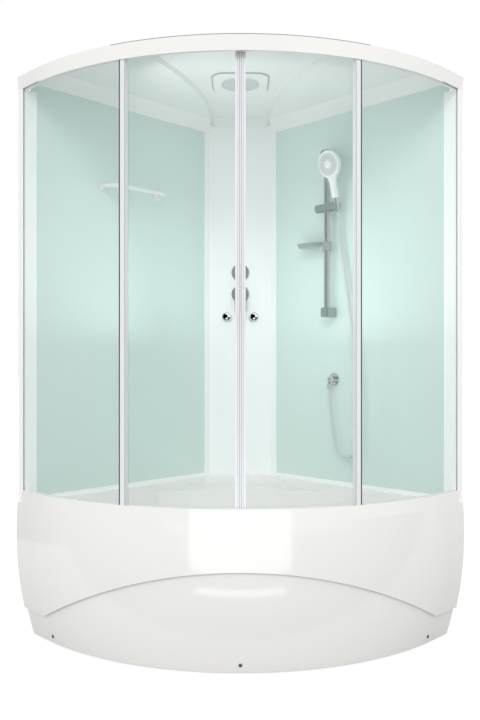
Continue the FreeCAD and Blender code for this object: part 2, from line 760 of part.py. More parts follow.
def waste_trap():
    top = FLOOR_UNDER
    cup = rod(V(DRAIN_V, 0, TRAP_FOOT_Z), UP, TRAP_RADIUS, top - TRAP_FOOT_Z)
    back = DRAIN_V - TRAP_RADIUS - OUTLET_LENGTH
    outlet = rod(V(back, 0, OUTLET_Z), V(1, 0, 0), OUTLET_RADIUS, DRAIN_V - back)
    collar = rod(V(back + OUTLET_LENGTH, 0, OUTLET_Z), V(1, 0, 0), OUTLET_COLLAR, TRAP_RADIUS)
    hollow = rod(V(DRAIN_V, 0, TRAP_FOOT_Z + DRAIN_WALL), UP, TRAP_RADIUS - DRAIN_WALL,
                 top - TRAP_FOOT_Z - 2 * DRAIN_WALL)
    bore = rod(V(back, 0, OUTLET_Z), V(1, 0, 0), OUTLET_RADIUS - OUTLET_WALL, DRAIN_V - back)
    neck = rod(V(DRAIN_V, 0, 0), UP, DRAIN_RADIUS, FLOOR_Z)
    mouth = neck.common(box((DRAIN_V - TRAP_RADIUS, -TRAP_RADIUS, OUTLET_Z),
                            (DRAIN_V + TRAP_RADIUS, TRAP_RADIUS, FLOOR_Z)))
    return at_column(cup.fuse([outlet, collar]).cut([hollow, bore, mouth]).removeSplitter())


# Walls
def wall_panel():
    return at_back_wall(wall_block((PANEL_START_S, PANEL_END_S), (PANEL_BACK, PANEL_FACE),
                                   (TRAY_RIM_Z + PANEL_LIFT, PANEL_TOP)))


def back_wall_panel():
    # The back panel is drilled for the tail of the hose outlet.
    tail = rod(wall_point(ELBOW_S, PANEL_BACK, ELBOW_Z), V(0, -1, 0), ELBOW_TAIL, PANEL)
    return wall_panel().cut(at_back_wall(tail))


def corner_column():
    flange = COLUMN_REACH + COLUMN_FLANGE
    inner = COLUMN_BACK_V * ROOT2 - PANEL_BACK
    outline = [(flange, PANEL_FACE), (COLUMN_REACH, PANEL_FACE), (PANEL_FACE, COLUMN_REACH),
               (PANEL_FACE, flange), (PANEL_BACK, flange), (PANEL_BACK, inner),
               (inner, PANEL_BACK), (flange, PANEL_BACK)]
    plate = polygon([plan_point(p, q, TRAY_RIM_Z) for p, q in outline])
    column = plate.extrude(V(0, 0, PANEL_TOP - TRAY_RIM_Z))
    holes = [at_column(rod(V(0, 0, z), V(1, 0, 0), SPINDLE_RADIUS, COLUMN_V * 2))
             for z in (MIXER_Z, DIVERTER_Z)]
    return column.cut(holes)


def column_trim():
    # H-section strip that joins the column's flange to the panel.
    web = (COLUMN_REACH + COLUMN_FLANGE, PANEL_START_S)
    height = (TRAY_RIM_Z, PANEL_TOP)
    cover = wall_block((COLUMN_REACH, TRIM_END_S), (PANEL_FACE, TRIM_FACE), height)
    middle = wall_block(web, (PANEL_BACK, PANEL_FACE), height)
    behind = wall_block((COLUMN_REACH + TRIM, TRIM_END_S), (PANEL_BACK - TRIM, PANEL_BACK), height)
    return at_back_wall(cover.fuse([middle, behind]).removeSplitter())


def bottom_trim():
    span = (TRIM_END_S, END_TRIM_S)
    shell = wall_block(span, (PANEL_BACK - TRIM, TRIM_FACE), (TRAY_RIM_Z, TRAY_RIM_Z + BOTTOM_TRIM))
    slot = wall_block(span, (PANEL_BACK, PANEL_FACE), (TRAY_RIM_Z + PANEL_LIFT, TRAY_RIM_Z + BOTTOM_TRIM))
    return at_back_wall(shell.cut(slot))


def end_trim():
    height = (TRAY_RIM_Z, HIGH_RAIL_LOW)
    shell = wall_block((END_TRIM_S, POST_IN_S), (0, TRIM_FACE), height)
    slot = wall_block((END_TRIM_S, PANEL_END_S), (PANEL_BACK, PANEL_FACE),
                      (TRAY_RIM_Z + PANEL_LIFT, HIGH_RAIL_LOW))
    core = wall_block((PANEL_END_S + TRIM, POST_IN_S - TRIM), (TRIM, TRIM_FACE - TRIM), height)
    return at_back_wall(shell.cut([slot, core]))


def wall_post():
    # Channel at the end of the wall that takes the edge of the fixed glass.
    height = (TRAY_RIM_Z, HIGH_RAIL_LOW)
    shell = wall_block((POST_IN_S, POST_OUT_S), (0, TRIM_FACE), height)
    channel = wall_block((ARC_INSET + CHANNEL_IN, ARC_INSET + FIXED_OUT + POST_CLEAR),
                         (RAIL_WALL, TRIM_FACE), height)
    return at_back_wall(shell.cut(channel))


# Rails and fixed glass
def rail(edge_z, direction, wall_gap):
    # One extrusion serves as both rails: direction is up from its open side, or down.
    top = RAIL_HEIGHT
    under = RAIL_HEIGHT - RAIL_WALL
    ridge = RAIL_WALL + TONGUE_HEIGHT
    outline = [(FRONT_RADIUS, 0), (FRONT_RADIUS + RAIL_FLARE, top), (WEB_IN, top), (WEB_IN, under),
               (TRACK_OUT, under), (TRACK_OUT, RAIL_WALL), (TONGUE_OUT, RAIL_WALL), (TONGUE_OUT, ridge),
               (TONGUE_IN, ridge), (TONGUE_IN, RAIL_WALL), (LEDGE_IN, RAIL_WALL), (LEDGE_IN, 0),
               (CHANNEL_IN, 0), (CHANNEL_IN, under), (CHANNEL_OUT, under), (CHANNEL_OUT, 0)]
    face = section([(radius, edge_z + direction * rise) for radius, rise in outline])
    return round_the_front(face, wall_gap)


def fixed_glass():
    heights = (TRAY_RIM_Z + RAIL_WALL, HIGH_RAIL_TOP - RAIL_WALL - SEAT_GAP)
    return band_to_wall((FIXED_IN, FIXED_OUT), heights, FIXED_EDGE_ANGLE, RAIL_WALL)


def edge_post():
    # Strip on the free edge of the fixed glass, with a fin towards the door.
    heights = (LOW_RAIL_TOP, HIGH_RAIL_LOW)
    bite = degrees_of(EDGE_BITE, FIXED_OUT)
    start = FIXED_EDGE_ANGLE - degrees_of(EDGE_LIP, FIXED_OUT)
    grip = band((FIXED_IN - SEAL_LIP, FIXED_OUT + SEAL_LIP), heights, (start, FIXED_EDGE_ANGLE + bite))
    web = band((TONGUE_IN, FIXED_IN - SEAL_LIP), heights, (start, FIXED_EDGE_ANGLE))
    return grip.fuse(web).cut(fixed_glass()).removeSplitter()


def glazing_seals():
    start = FIXED_EDGE_ANGLE + degrees_of(EDGE_BITE + GLASS_BITE, FIXED_OUT)
    depth = RAIL_HEIGHT / 4
    strips = []
    for radii in ((CHANNEL_IN, FIXED_IN), (FIXED_OUT, CHANNEL_OUT)):
        for low in (LOW_RAIL_TOP - depth, HIGH_RAIL_LOW):
            strips.append(band_to_wall(radii, (low, low + depth), start, TRIM_FACE))
    strips.append(at_back_wall(wall_block((ARC_INSET + CHANNEL_IN, ARC_INSET + FIXED_IN),
                                          (TRIM_FACE - depth, TRIM_FACE), (LOW_RAIL_TOP, HIGH_RAIL_LOW))))
    return both_sides(strips)


def door_stops():
    wheel_end = ROLLER_ANGLES[-1] + DOOR_TRAVEL + degrees_of(WHEEL_RADIUS + STOP_CLEAR, WHEEL_MID)
    angles = (wheel_end, wheel_end + degrees_of(STOP_LENGTH, WHEEL_MID))
    stops = []
    for edge_z, direction in ((HIGH_RAIL_LOW, 1), (LOW_RAIL_TOP, -1)):
        levels = [edge_z + direction * rise for rise in (RAIL_WALL, RAIL_WALL + STOP_HEIGHT)]
        tongue = [edge_z + direction * rise for rise in (RAIL_WALL, RAIL_WALL + TONGUE_HEIGHT)]
        block = band((LEDGE_IN, TRACK_OUT - ROLL_GAP), sorted(levels), angles)
        slot = band((TONGUE_IN - HOLE_CLEAR, TONGUE_OUT + HOLE_CLEAR), sorted(tongue), angles)
        stops.append(block.cut(slot))
    return both_sides(stops)


# Doors: the right one is modelled and the left one mirrors it
DOOR_LOW = LOW_RAIL_TOP - DOOR_INSET
DOOR_HIGH = HIGH_RAIL_LOW + DOOR_INSET
DOOR_LEAD = degrees_of(MEETING_GAP + MAGNET_WIDTH - GLASS_BITE, DOOR_OUT)
DOOR_TRAIL = FIXED_EDGE_ANGLE + DOOR_LAP
ROLLER_Z = HIGH_RAIL_LOW + AXLE_RISE
GUIDE_Z = LOW_RAIL_TOP - AXLE_RISE


def door_glass():
    glass = band((DOOR_IN, DOOR_OUT), (DOOR_LOW, DOOR_HIGH), (DOOR_LEAD, DOOR_TRAIL))
    places = [(angle, z) for angle in ROLLER_ANGLES for z in (ROLLER_Z, GUIDE_Z)] + [(KNOB_ANGLE, KNOB_Z)]
    reach = FRONT_RADIUS - WEB_IN
    holes = [at_front(rod(V(WEB_IN, 0, z), V(1, 0, 0), SHANK_RADIUS + HOLE_CLEAR, reach), angle)
             for angle, z in places]
    return glass.cut(holes)


def magnetic_seal():
    start = degrees_of(MEETING_GAP, DOOR_OUT)
    end = start + degrees_of(MAGNET_WIDTH, DOOR_OUT)
    strip = band((DOOR_IN - SEAL_LIP, DOOR_OUT + SEAL_LIP), (DOOR_LOW, DOOR_HIGH), (start, end))
    return strip.cut(band((DOOR_IN, DOOR_OUT), (DOOR_LOW, DOOR_HIGH), (DOOR_LEAD, DOOR_TRAIL)))


def trailing_seal():
    bite = degrees_of(TRAIL_BITE, DOOR_OUT)
    fin = degrees_of(FIN, DOOR_OUT)
    strip = band((DOOR_IN - SEAL_LIP, DOOR_OUT + SEAL_LIP), (DOOR_LOW, DOOR_HIGH),
                 (DOOR_TRAIL - bite, DOOR_TRAIL + fin))
    wiper = band((DOOR_OUT + SEAL_LIP, TRACK_OUT), (LOW_RAIL_TOP + FIN, HIGH_RAIL_LOW - FIN),
                 (DOOR_TRAIL, DOOR_TRAIL + fin))
    glass = band((DOOR_IN, DOOR_OUT), (DOOR_LOW, DOOR_HIGH), (DOOR_LEAD, DOOR_TRAIL))
    return strip.fuse(wiper).cut(glass).removeSplitter()


def through_glass(tail):
    # A cap inside, a shank through the glass, then whatever carries on outside.
    inner = DOOR_IN - CURVE_CLEAR
    cap = [(inner - CAP_DEPTH, 0), (inner - CAP_DEPTH, CAP_RADIUS * 0.8), (inner - CAP_DEPTH / 2, CAP_RADIUS),
           (inner, CAP_RADIUS), (inner, SHANK_RADIUS), (DOOR_OUT, SHANK_RADIUS)]
    return turned(cap + tail)


def roller_axle():
    wheel_in = WHEEL_MID - WHEEL_WIDTH / 2
    wheel_out = WHEEL_MID + WHEEL_WIDTH / 2
    shoulder = wheel_in - ROLL_GAP
    head = wheel_out + ROLL_GAP
    tail = [(DOOR_OUT, COLLAR_RADIUS), (shoulder, COLLAR_RADIUS), (shoulder, AXLE_RADIUS),
            (head, AXLE_RADIUS), (head, HEAD_RADIUS),
            (head + HEAD_DEPTH, HEAD_RADIUS), (head + HEAD_DEPTH, 0)]
    return through_glass(tail)


def guide_shoe():
    # Hook that runs under the tongue of the lower rail.
    stem_end = TONGUE_IN - TRACK_LEDGE
    stem = through_glass([(DOOR_OUT, COLLAR_RADIUS), (stem_end, COLLAR_RADIUS), (stem_end, 0)])
    top = AXLE_RISE - RAIL_WALL - TONGUE
    shoe = box((stem_end, -SHOE_HALF, -COLLAR_RADIUS), (TRACK_OUT - TONGUE, SHOE_HALF, top))
    slot = box((TONGUE_IN - GROOVE_SIDE, -SHOE_HALF, top - TONGUE_HEIGHT + TONGUE - ROLL_GAP * 2),
               (TONGUE_OUT + GROOVE_SIDE, SHOE_HALF, top))
    return stem.fuse(shoe.cut(slot)).removeSplitter()


def wheel():
    low = WHEEL_MID - WHEEL_WIDTH / 2
    high = WHEEL_MID + WHEEL_WIDTH / 2
    groove_low = TONGUE_IN - GROOVE_SIDE
    groove_high = TONGUE_OUT + GROOVE_SIDE
    bore = AXLE_RADIUS + RUN_CLEAR
    return turned([(low, bore), (low, WHEEL_RADIUS), (groove_low, WHEEL_RADIUS), (groove_low, WHEEL_GROOVE),
                   (groove_high, WHEEL_GROOVE), (groove_high, WHEEL_RADIUS), (high, WHEEL_RADIUS),
                   (high, bore)])


def knob():
    # A ball outside and one inside on one bolt through the glass.
    inner = DOOR_IN - CURVE_CLEAR
    middles = (inner - KNOB_STAND, DOOR_OUT + KNOB_STAND)
    bite = math.sqrt(KNOB_RADIUS ** 2 - KNOB_NECK ** 2)
    profile = [(middles[0] + bite, KNOB_NECK), (inner - RAIL_WALL, KNOB_NECK), (inner - RAIL_WALL, KNOB_BASE),
               (inner, KNOB_BASE), (inner, SHANK_RADIUS), (DOOR_OUT, SHANK_RADIUS), (DOOR_OUT, KNOB_BASE),
               (DOOR_OUT + RAIL_WALL, KNOB_BASE), (DOOR_OUT + RAIL_WALL, KNOB_NECK),
               (middles[1] - bite, KNOB_NECK)]
    corners = [V(x, radius, 0) for x, radius in profile]
    ends = (V(middles[0] - KNOB_RADIUS, 0, 0), V(middles[1] + KNOB_RADIUS, 0, 0))
    edges = [arc(ends[0], V(middles[0], KNOB_RADIUS, 0), corners[0])]
    edges += [line(start, end) for start, end in zip(corners, corners[1:])]
    edges += [arc(corners[-1], V(middles[1], KNOB_RADIUS, 0), ends[1]), line(ends[1], ends[0])]
    return at_front(lathe(edges).translated(V(0, 0, KNOB_Z)), KNOB_ANGLE)


def on_door(shape, z):
    return [at_front(shape.translated(V(0, 0, z)), angle) for angle in ROLLER_ANGLES]


# Roof
def dome(grow):
    low = plan_outline(PANEL_FACE - grow, WEB_IN - ROOF_WALL * 2 + grow, PANEL_TOP, COLUMN_V - grow)
    high = plan_outline(PANEL_FACE + COVE_RUN - grow, WEB_IN - FRONT_COVE + grow, CEILING_Z + grow,
                        COLUMN_V + COLUMN_COVE - grow)
    return loft([low, high])


def fan_outline(shrink, front_radius, z):
    # Fan in the diagonal plan: narrow at the column, wide at the curved front.
    back = COLUMN_V + ROOF_WALL * 3 + shrink
    wide = FAN_FRONT - shrink
    front_v = DIAGONAL_TO_AXIS + math.sqrt(front_radius ** 2 - wide ** 2)
    nose = V(DIAGONAL_TO_AXIS + front_radius, 0, z)
    points = {}
    for side in (-1, 1):
        points[side] = (V(back, side * (FAN_BACK - shrink), z),
                        V(FAN_MIDDLE_V, side * (FAN_MIDDLE - shrink), z),
                        V(front_v, side * wide, z))
    edges = [line(points[-1][0], points[1][0]), arc(*points[1]), arc(points[1][2], nose, points[-1][2]),
             arc(points[-1][2], points[-1][1], points[-1][0])]
    return Part.Wire([at_column(edge) for edge in edges])


def vault(grow):
    front = FRONT_RADIUS - FAN_FRONT_INSET + grow
    low = fan_outline(-grow, front, CEILING_Z - FAN_BASE_DROP)
    high = fan_outline(FAN_SLOPE - grow, front - FAN_FRONT_SLOPE, VAULT_Z + grow)
    return loft([low, high])


def roof():
    flange = plan_slab(0, FRONT_RADIUS + RAIL_FLARE - ROOF_INSET, HIGH_RAIL_TOP, HIGH_RAIL_TOP + ROOF_WALL)
    rim = plan_slab(0, WEB_IN, PANEL_TOP, HIGH_RAIL_TOP)
    inner_rim = plan_slab(TRIM_FACE, WEB_IN, PANEL_TOP, HIGH_RAIL_TOP)
    shell = flange.fuse([rim.cut(inner_rim), dome(ROOF_WALL), vault(ROOF_WALL)])
    inlet = at_column(rod(V(HEAD_V, 0, CEILING_Z), UP, INLET_RADIUS, ROOF_TOP_Z - CEILING_Z))
    pipe = at_column(rod(V(VALVE_V, 0, PANEL_TOP), UP, RAIN_PIPE + SCREW_CLEAR, VAULT_Z - PANEL_TOP))
    return shell.cut([dome(0), vault(0), inlet, pipe]).removeSplitter()


def rain_head():
    low = VAULT_Z - HEAD_THICKNESS
    block = box((HEAD_V - HEAD_HALF, -HEAD_HALF, low), (HEAD_V + HEAD_HALF, HEAD_HALF, VAULT_Z))
    upright = [edge for edge in block.Edges if abs(edge.BoundBox.ZLength - HEAD_THICKNESS) < 0.01]
    block = block.makeFillet(HEAD_CORNER, upright)
    lower = [edge for edge in block.Edges if abs(edge.BoundBox.ZMax - low) < 0.01]
    block = block.makeFillet(HEAD_THICKNESS * 0.6, lower)
    stub = rod(V(HEAD_V, 0, VAULT_Z), UP, INLET_RADIUS, ROOF_WALL)
    seat = rod(V(HEAD_V, 0, low), UP, NOZZLE_RADIUS, NOZZLE_SEAT)
    return at_column(block.fuse([stub, inlet_head()]).cut(seat).removeSplitter())


def inlet_head():
    return rod(V(HEAD_V, 0, ROOF_TOP_Z), UP, INLET_HEAD, INLET_TOP_Z - ROOF_TOP_Z)


def nozzle_plate():
    low = VAULT_Z - HEAD_THICKNESS
    return at_column(rod(V(HEAD_V, 0, low - NOZZLE_DEPTH), UP, NOZZLE_RADIUS, NOZZLE_DEPTH + NOZZLE_SEAT))


# Valve in the column
VALVE_LOW = MIXER_Z - BOSS_RADIUS - VALVE_TAIL
VALVE_TOP = DIVERTER_Z + BOSS_RADIUS + VALVE_TAIL


def valve_body():
    tall = rod(V(VALVE_V, 0, VALVE_LOW), UP, VALVE_RADIUS, VALVE_TOP - VALVE_LOW)
    pieces = []
    for z in (MIXER_Z, DIVERTER_Z):
        centre = V(VALVE_V, 0, z)
        pieces.append(rod(centre, V(1, 0, 0), BOSS_RADIUS, COLUMN_BACK_V - VALVE_V))
        flange = V(COLUMN_BACK_V - BOSS_FLANGE_DEPTH, 0, z)
        pieces.append(rod(flange, V(1, 0, 0), BOSS_FLANGE, BOSS_FLANGE_DEPTH))
        pieces.append(rod(centre, V(1, 0, 0), SPINDLE_RADIUS, COLUMN_V + PLATE_DEPTH - VALVE_V))
    half = INLET_SPACING / 2 + CROSSBAR_RADIUS
    pieces.append(rod(V(VALVE_V, -half, MIXER_Z), V(0, 1, 0), CROSSBAR_RADIUS, 2 * half))
    for side in (-1, 1):
        seat = V(VALVE_V, side * INLET_SPACING / 2, MIXER_Z - CROSSBAR_RADIUS)
        pieces.append(rod(seat, V(0, 0, -1), NIPPLE_RADIUS, NIPPLE_LENGTH))
        pieces.append(rod(seat, UP, NIPPLE_COLLAR, CROSSBAR_RADIUS))
    return at_column(tall.fuse(pieces).removeSplitter())


def valve_plates():
    plates = []
    for z in (MIXER_Z, DIVERTER_Z):
        plate = rod(V(COLUMN_V, 0, z), V(1, 0, 0), PLATE_RADIUS, PLATE_DEPTH)
        rim = [edge for edge in plate.Edges if abs(edge.CenterOfMass.x - COLUMN_V - PLATE_DEPTH) < 0.01]
        plate = plate.makeFillet(PLATE_DEPTH * 0.7, rim)
        plates.append(at_column(plate.cut(rod(V(0, 0, z), V(1, 0, 0), SPINDLE_RADIUS, COLUMN_V * 2))))
    return Part.Compound(plates)


STEM_V = COLUMN_V + PLATE_DEPTH + ROLL_GAP
PIVOT_V = STEM_V + CUP_FLOOR + BALL_GAP + BALL_RADIUS


def mixer_stem():
    stem = rod(V(STEM_V, 0, MIXER_Z), V(1, 0, 0), STEM_RADIUS, STEM_DEPTH)
    return at_column(stem.cut(ball(V(PIVOT_V, 0, MIXER_Z), BALL_RADIUS + BALL_GAP)))


def mixer_lever():
    # A ball in the stem's cup, under a round cap that runs down into a flat tongue.
    pivot = ball(V(PIVOT_V, 0, MIXER_Z), BALL_RADIUS)
    front = PIVOT_V + LEVER_STAND
    low = MIXER_Z - LEVER_LENGTH
    tongue = box((front - LEVER_THICKNESS, -LEVER_HALF, low), (front, LEVER_HALF, MIXER_Z))
    lower = [edge for edge in tongue.Edges if abs(edge.BoundBox.XLength - LEVER_THICKNESS) < 0.01
             and edge.CenterOfMass.z < MIXER_Z - 1]
    tongue = tongue.makeFillet(LEVER_CORNER, lower)
    cap = rod(V(front - LEVER_THICKNESS, 0, MIXER_Z), V(1, 0, 0), LEVER_HALF, LEVER_THICKNESS)
    return at_column(pivot.fuse([tongue, cap]).removeSplitter())


def diverter_knob():
    low = COLUMN_V + PLATE_DEPTH + ROLL_GAP
    knob_solid = rod(V(low, 0, DIVERTER_Z), V(1, 0, 0), DIVERTER_RADIUS, DIVERTER_DEPTH)
    rim = [edge for edge in knob_solid.Edges if abs(edge.CenterOfMass.x - low - DIVERTER_DEPTH) < 0.01]
    knob_solid = knob_solid.makeFillet(DIVERTER_RADIUS * 0.15, rim)
    scoops = []
    for k in range(GRIP_LOBES):
        turn = math.radians(45 + k * 360 / GRIP_LOBES)
        reach = DIVERTER_RADIUS + GRIP_RADIUS * 0.5
        start = V(low + DIVERTER_DEPTH * 0.3, reach * math.cos(turn), DIVERTER_Z + reach * math.sin(turn))
        scoops.append(rod(start, V(1, 0, 0), GRIP_RADIUS, DIVERTER_DEPTH))
    return at_column(knob_solid.cut(scoops).removeSplitter())


# Supply pipes behind the column and over the roof
def rain_pipe():
    run_z = INLET_TOP_Z - RAIN_PIPE - ROLL_GAP
    points = [V(VALVE_V, 0, VALVE_TOP), V(VALVE_V, 0, run_z), V(HEAD_V, 0, run_z)]
    pipe = round_bar(points, RAIN_PIPE, steady_bend(PIPE_BEND))
    return at_column(pipe.cut(inlet_head()))


def hand_pipe():
    # Leaves the valve sideways, runs behind the back panel and drops to the outlet.
    side = VALVE_V * ROOT2 - HAND_PIPE_T
    start = VALVE_V / ROOT2
    points = [wall_point(start, start, HAND_PIPE_Z), wall_point(side, HAND_PIPE_T, HAND_PIPE_Z),
              wall_point(ELBOW_S, HAND_PIPE_T, HAND_PIPE_Z), wall_point(ELBOW_S, HAND_PIPE_T, ELBOW_Z)]
    pipe = at_back_wall(round_bar(points, HAND_PIPE, steady_bend(PIPE_BEND)))
    tail = at_back_wall(rod(wall_point(ELBOW_S, 0, ELBOW_Z), V(0, -1, 0), ELBOW_TAIL, PANEL_FACE))
    return pipe.cut([valve_body(), tail])


# Hand shower
def riser_rail():
    reach = BLOCK_HEIGHT / 2 - BLOCK_FLOOR
    low = RISER_LOW_Z - reach
    high = RISER_HIGH_Z + reach
    return at_back_wall(rod(wall_point(RISER_S, RISER_T, low), UP, RISER_RADIUS, high - low))


def riser_brackets():
    # Rounded blocks on the panel, each with a blind hole for one end of the rail.
    blocks = []
    for z in (RISER_LOW_Z, RISER_HIGH_Z):
        block = wall_block((RISER_S - BLOCK_HALF, RISER_S + BLOCK_HALF), (PANEL_FACE, RISER_T + BLOCK_HALF),
                           (z - BLOCK_HEIGHT / 2, z + BLOCK_HEIGHT / 2))
        block = block.makeFillet(BLOCK_ROUND, block.Edges)
        blocks.append(at_back_wall(block).cut(riser_rail()))
    return Part.Compound(blocks)


def slider():
    start = wall_point(RISER_S - BARREL_LEFT, RISER_T, SLIDER_Z)
    barrel = rod(start, V(1, 0, 0), BARREL_RADIUS, BARREL_LEFT + BARREL_RIGHT)
    end = [edge for edge in barrel.Edges if abs(edge.CenterOfMass.x - start.x) < 0.01]
    barrel = barrel.makeFillet(BARREL_RADIUS * 0.25, end)
    pivot = rod(wall_point(RISER_S + BARREL_RIGHT, RISER_T, SLIDER_Z), V(1, 0, 0), PIVOT_RADIUS, PIVOT_LENGTH)
    bore = rod(wall_point(RISER_S, RISER_T, SLIDER_Z - 2 * BARREL_RADIUS), UP, RISER_RADIUS + RUN_CLEAR,
               4 * BARREL_RADIUS)
    return at_back_wall(barrel.fuse(pivot).cut(bore).removeSplitter())


def in_handset_frame(shape):
    # From upright along Z with the spray face towards -Y, to the leaning place in the holder.
    leaning = shape.rotated(V(), V(1, 0, 0), HANDSET_LEAN)
    return at_back_wall(leaning.translated(wall_point(SOCKET_S, RISER_T, SLIDER_Z)))


def holder():
    start = RISER_S + BARREL_RIGHT + PIVOT_GAP
    barrel = rod(wall_point(start, RISER_T, SLIDER_Z), V(1, 0, 0), BARREL_RADIUS, HOLDER_LENGTH)
    bore = rod(wall_point(start, RISER_T, SLIDER_Z), V(1, 0, 0), PIVOT_RADIUS + RUN_CLEAR, PIVOT_LENGTH)
    deep = 2 * BARREL_RADIUS
    flare = (CONE_HIGH - CONE_LOW) / (CONE_UP + CONE_DOWN)
    middle = CONE_LOW + flare * CONE_DOWN + SOCKET_CLEAR
    socket = Part.makeCone(middle - flare * deep, middle + flare * deep, 2 * deep, V(0, 0, -deep))
    return at_back_wall(barrel.cut(bore)).cut(in_handset_frame(socket)).removeSplitter()


def hose_cone():
    return in_handset_frame(Part.makeCone(CONE_LOW, CONE_HIGH, CONE_UP + CONE_DOWN, V(0, 0, -CONE_DOWN)))


def level_oval(half_x, half_y, y, z):
    return Part.Wire(Part.Ellipse(V(0, y, z), half_x, half_y).toShape())


def handset():
    # One smooth skin from the round handle to the flat neck, then an oval head.
    tall = SPRAY_RADIUS + SPRAY_STRETCH
    head_low = HEAD_CENTRE - tall
    middle_y = (SPRAY_BACK - SPRAY_FRONT) / 2
    deep = (SPRAY_BACK + SPRAY_FRONT) * 0.4
    skin = [level_oval(HANDLE_LOW, HANDLE_LOW, 0, CONE_UP),
            level_oval(HANDLE_HIGH, HANDLE_HIGH, 0, HANDLE_TOP),
            level_oval(HANDLE_HIGH + NECK_FLARE * 0.3, (HANDLE_HIGH + deep) / 2, middle_y / 2, head_low),
            level_oval(HANDLE_HIGH + NECK_FLARE, deep, middle_y, head_low + tall * 0.4)]
    grip = Part.makeLoft(skin, True, False)
    centre = V(0, SPRAY_BACK, HEAD_CENTRE)
    rim = Part.Ellipse(centre + UP * tall, centre + V(SPRAY_RADIUS, 0, 0), centre).toShape()
    head = Part.Face(Part.Wire(rim)).extrude(V(0, -SPRAY_FRONT - SPRAY_BACK, 0))
    back = [edge for edge in head.Edges if abs(edge.CenterOfMass.y - SPRAY_BACK) < 0.01]
    head = head.makeFillet(SPRAY_ROUND, back)
    front = [edge for edge in head.Edges if abs(edge.CenterOfMass.y + SPRAY_FRONT) < 0.01]
    head = head.makeFillet(SPRAY_EDGE, front)
    seat = rod(V(0, -SPRAY_FRONT, HEAD_CENTRE), V(0, 1, 0), FACE_RADIUS, FACE_SEAT)
    return in_handset_frame(grip.fuse(head).cut(seat).removeSplitter())


def spray_face():
    start = V(0, FACE_SEAT - SPRAY_FRONT, HEAD_CENTRE)
    plate = rod(start, V(0, -1, 0), FACE_RADIUS, FACE_SEAT + FACE_PROUD)
    button = rod(start, V(0, -1, 0), FACE_BUTTON, FACE_SEAT + 2 * FACE_PROUD)
    return in_handset_frame(plate.fuse(button).removeSplitter())


def dish_outline(half_s, half_t, z):
    # Straight sides with round ends.
    side = half_s - half_t
    corners = {(i, j): wall_point(DISH_S + i * side, RISER_T + j * half_t, z)
               for i in (-1, 1) for j in (-1, 1)}
    tips = {i: wall_point(DISH_S + i * half_s, RISER_T, z) for i in (-1, 1)}
    return Part.Wire([line(corners[-1, -1], corners[1, -1]),
                      arc(corners[1, -1], tips[1], corners[1, 1]),
                      line(corners[1, 1], corners[-1, 1]),
                      arc(corners[-1, 1], tips[-1], corners[-1, -1])])


def soap_dish():
    # A dish beside the riser, on a ring that slides on it.
    low = DISH_Z - DISH_DEPTH / 2
    high = DISH_Z + DISH_DEPTH / 2
    foot_s = DISH_HALF_S * DISH_FOOT
    foot_t = DISH_HALF_T * DISH_FOOT
    outside = loft([dish_outline(foot_s, foot_t, low), dish_outline(DISH_HALF_S, DISH_HALF_T, high)])
    inside = loft([dish_outline(foot_s - DISH_WALL, foot_t - DISH_WALL, low + DISH_WALL),
                   dish_outline(DISH_HALF_S - DISH_WALL, DISH_HALF_T - DISH_WALL, high)])
    drains = [rod(wall_point(DISH_S + offset, RISER_T, low), UP, DISH_DRAIN, DISH_WALL)
              for offset in (-DISH_HALF_S / 3, 0, DISH_HALF_S / 3)]
    ring = rod(wall_point(RISER_S, RISER_T, high - CLIP_HEIGHT), UP, CLIP_RADIUS, CLIP_HEIGHT)
    arm = wall_block((DISH_S + foot_s - DISH_WALL, RISER_S), (RISER_T - CLIP_ARM, RISER_T + CLIP_ARM),
                     (low, low + CLIP_ARM))
    bore = rod(wall_point(RISER_S, RISER_T, high - 2 * CLIP_HEIGHT), UP, RISER_RADIUS + RUN_CLEAR,
               3 * CLIP_HEIGHT)
    dish = outside.cut([inside] + drains)
    return at_back_wall(dish.fuse([ring, arm.cut(inside)]).cut(bore).removeSplitter())


# Wall outlet and hose
def outlet_elbow():
    plate = rod(wall_point(ELBOW_S, PANEL_FACE, ELBOW_Z), V(0, -1, 0), ELBOW_PLATE, ELBOW_PLATE_DEPTH)
    body = rod(wall_point(ELBOW_S, PANEL_FACE, ELBOW_Z), V(0, -1, 0), ELBOW_RADIUS, ELBOW_T - PANEL_FACE)
    knuckle = ball(wall_point(ELBOW_S, ELBOW_T, ELBOW_Z), ELBOW_RADIUS)
    drop = rod(wall_point(ELBOW_S, ELBOW_T, ELBOW_Z - ELBOW_DROP), UP, ELBOW_TAIL, ELBOW_DROP)
    tail = rod(wall_point(ELBOW_S, 0, ELBOW_Z), V(0, -1, 0), ELBOW_TAIL, PANEL_FACE)
    return at_back_wall(plate.fuse([body, knuckle, drop, tail]).removeSplitter())


def hose_nut():
    low = ELBOW_Z - ELBOW_DROP - NUT_HEIGHT
    return at_back_wall(hexagon(NUT_RADIUS, NUT_HEIGHT).translated(wall_point(ELBOW_S, ELBOW_T, low)))


def hose_route():
    lean = math.radians(HANDSET_LEAN)
    down = V(0, math.sin(lean), -math.cos(lean))
    start = wall_point(SOCKET_S, RISER_T, SLIDER_Z) + down * CONE_DOWN
    end = wall_point(ELBOW_S, ELBOW_T, ELBOW_Z - ELBOW_DROP - NUT_HEIGHT)
    return [start, start + down * HOSE_FIRST_RUN] + [wall_point(*point) for point in HOSE_POINTS] + [end]


def hose_bend(before, corner, after):
    shorter = min((before - corner).Length, (after - corner).Length)
    half_turn = (math.pi - (before - corner).getAngle(after - corner)) / 2
    return HOSE_ARC_SHARE * shorter / math.tan(half_turn)


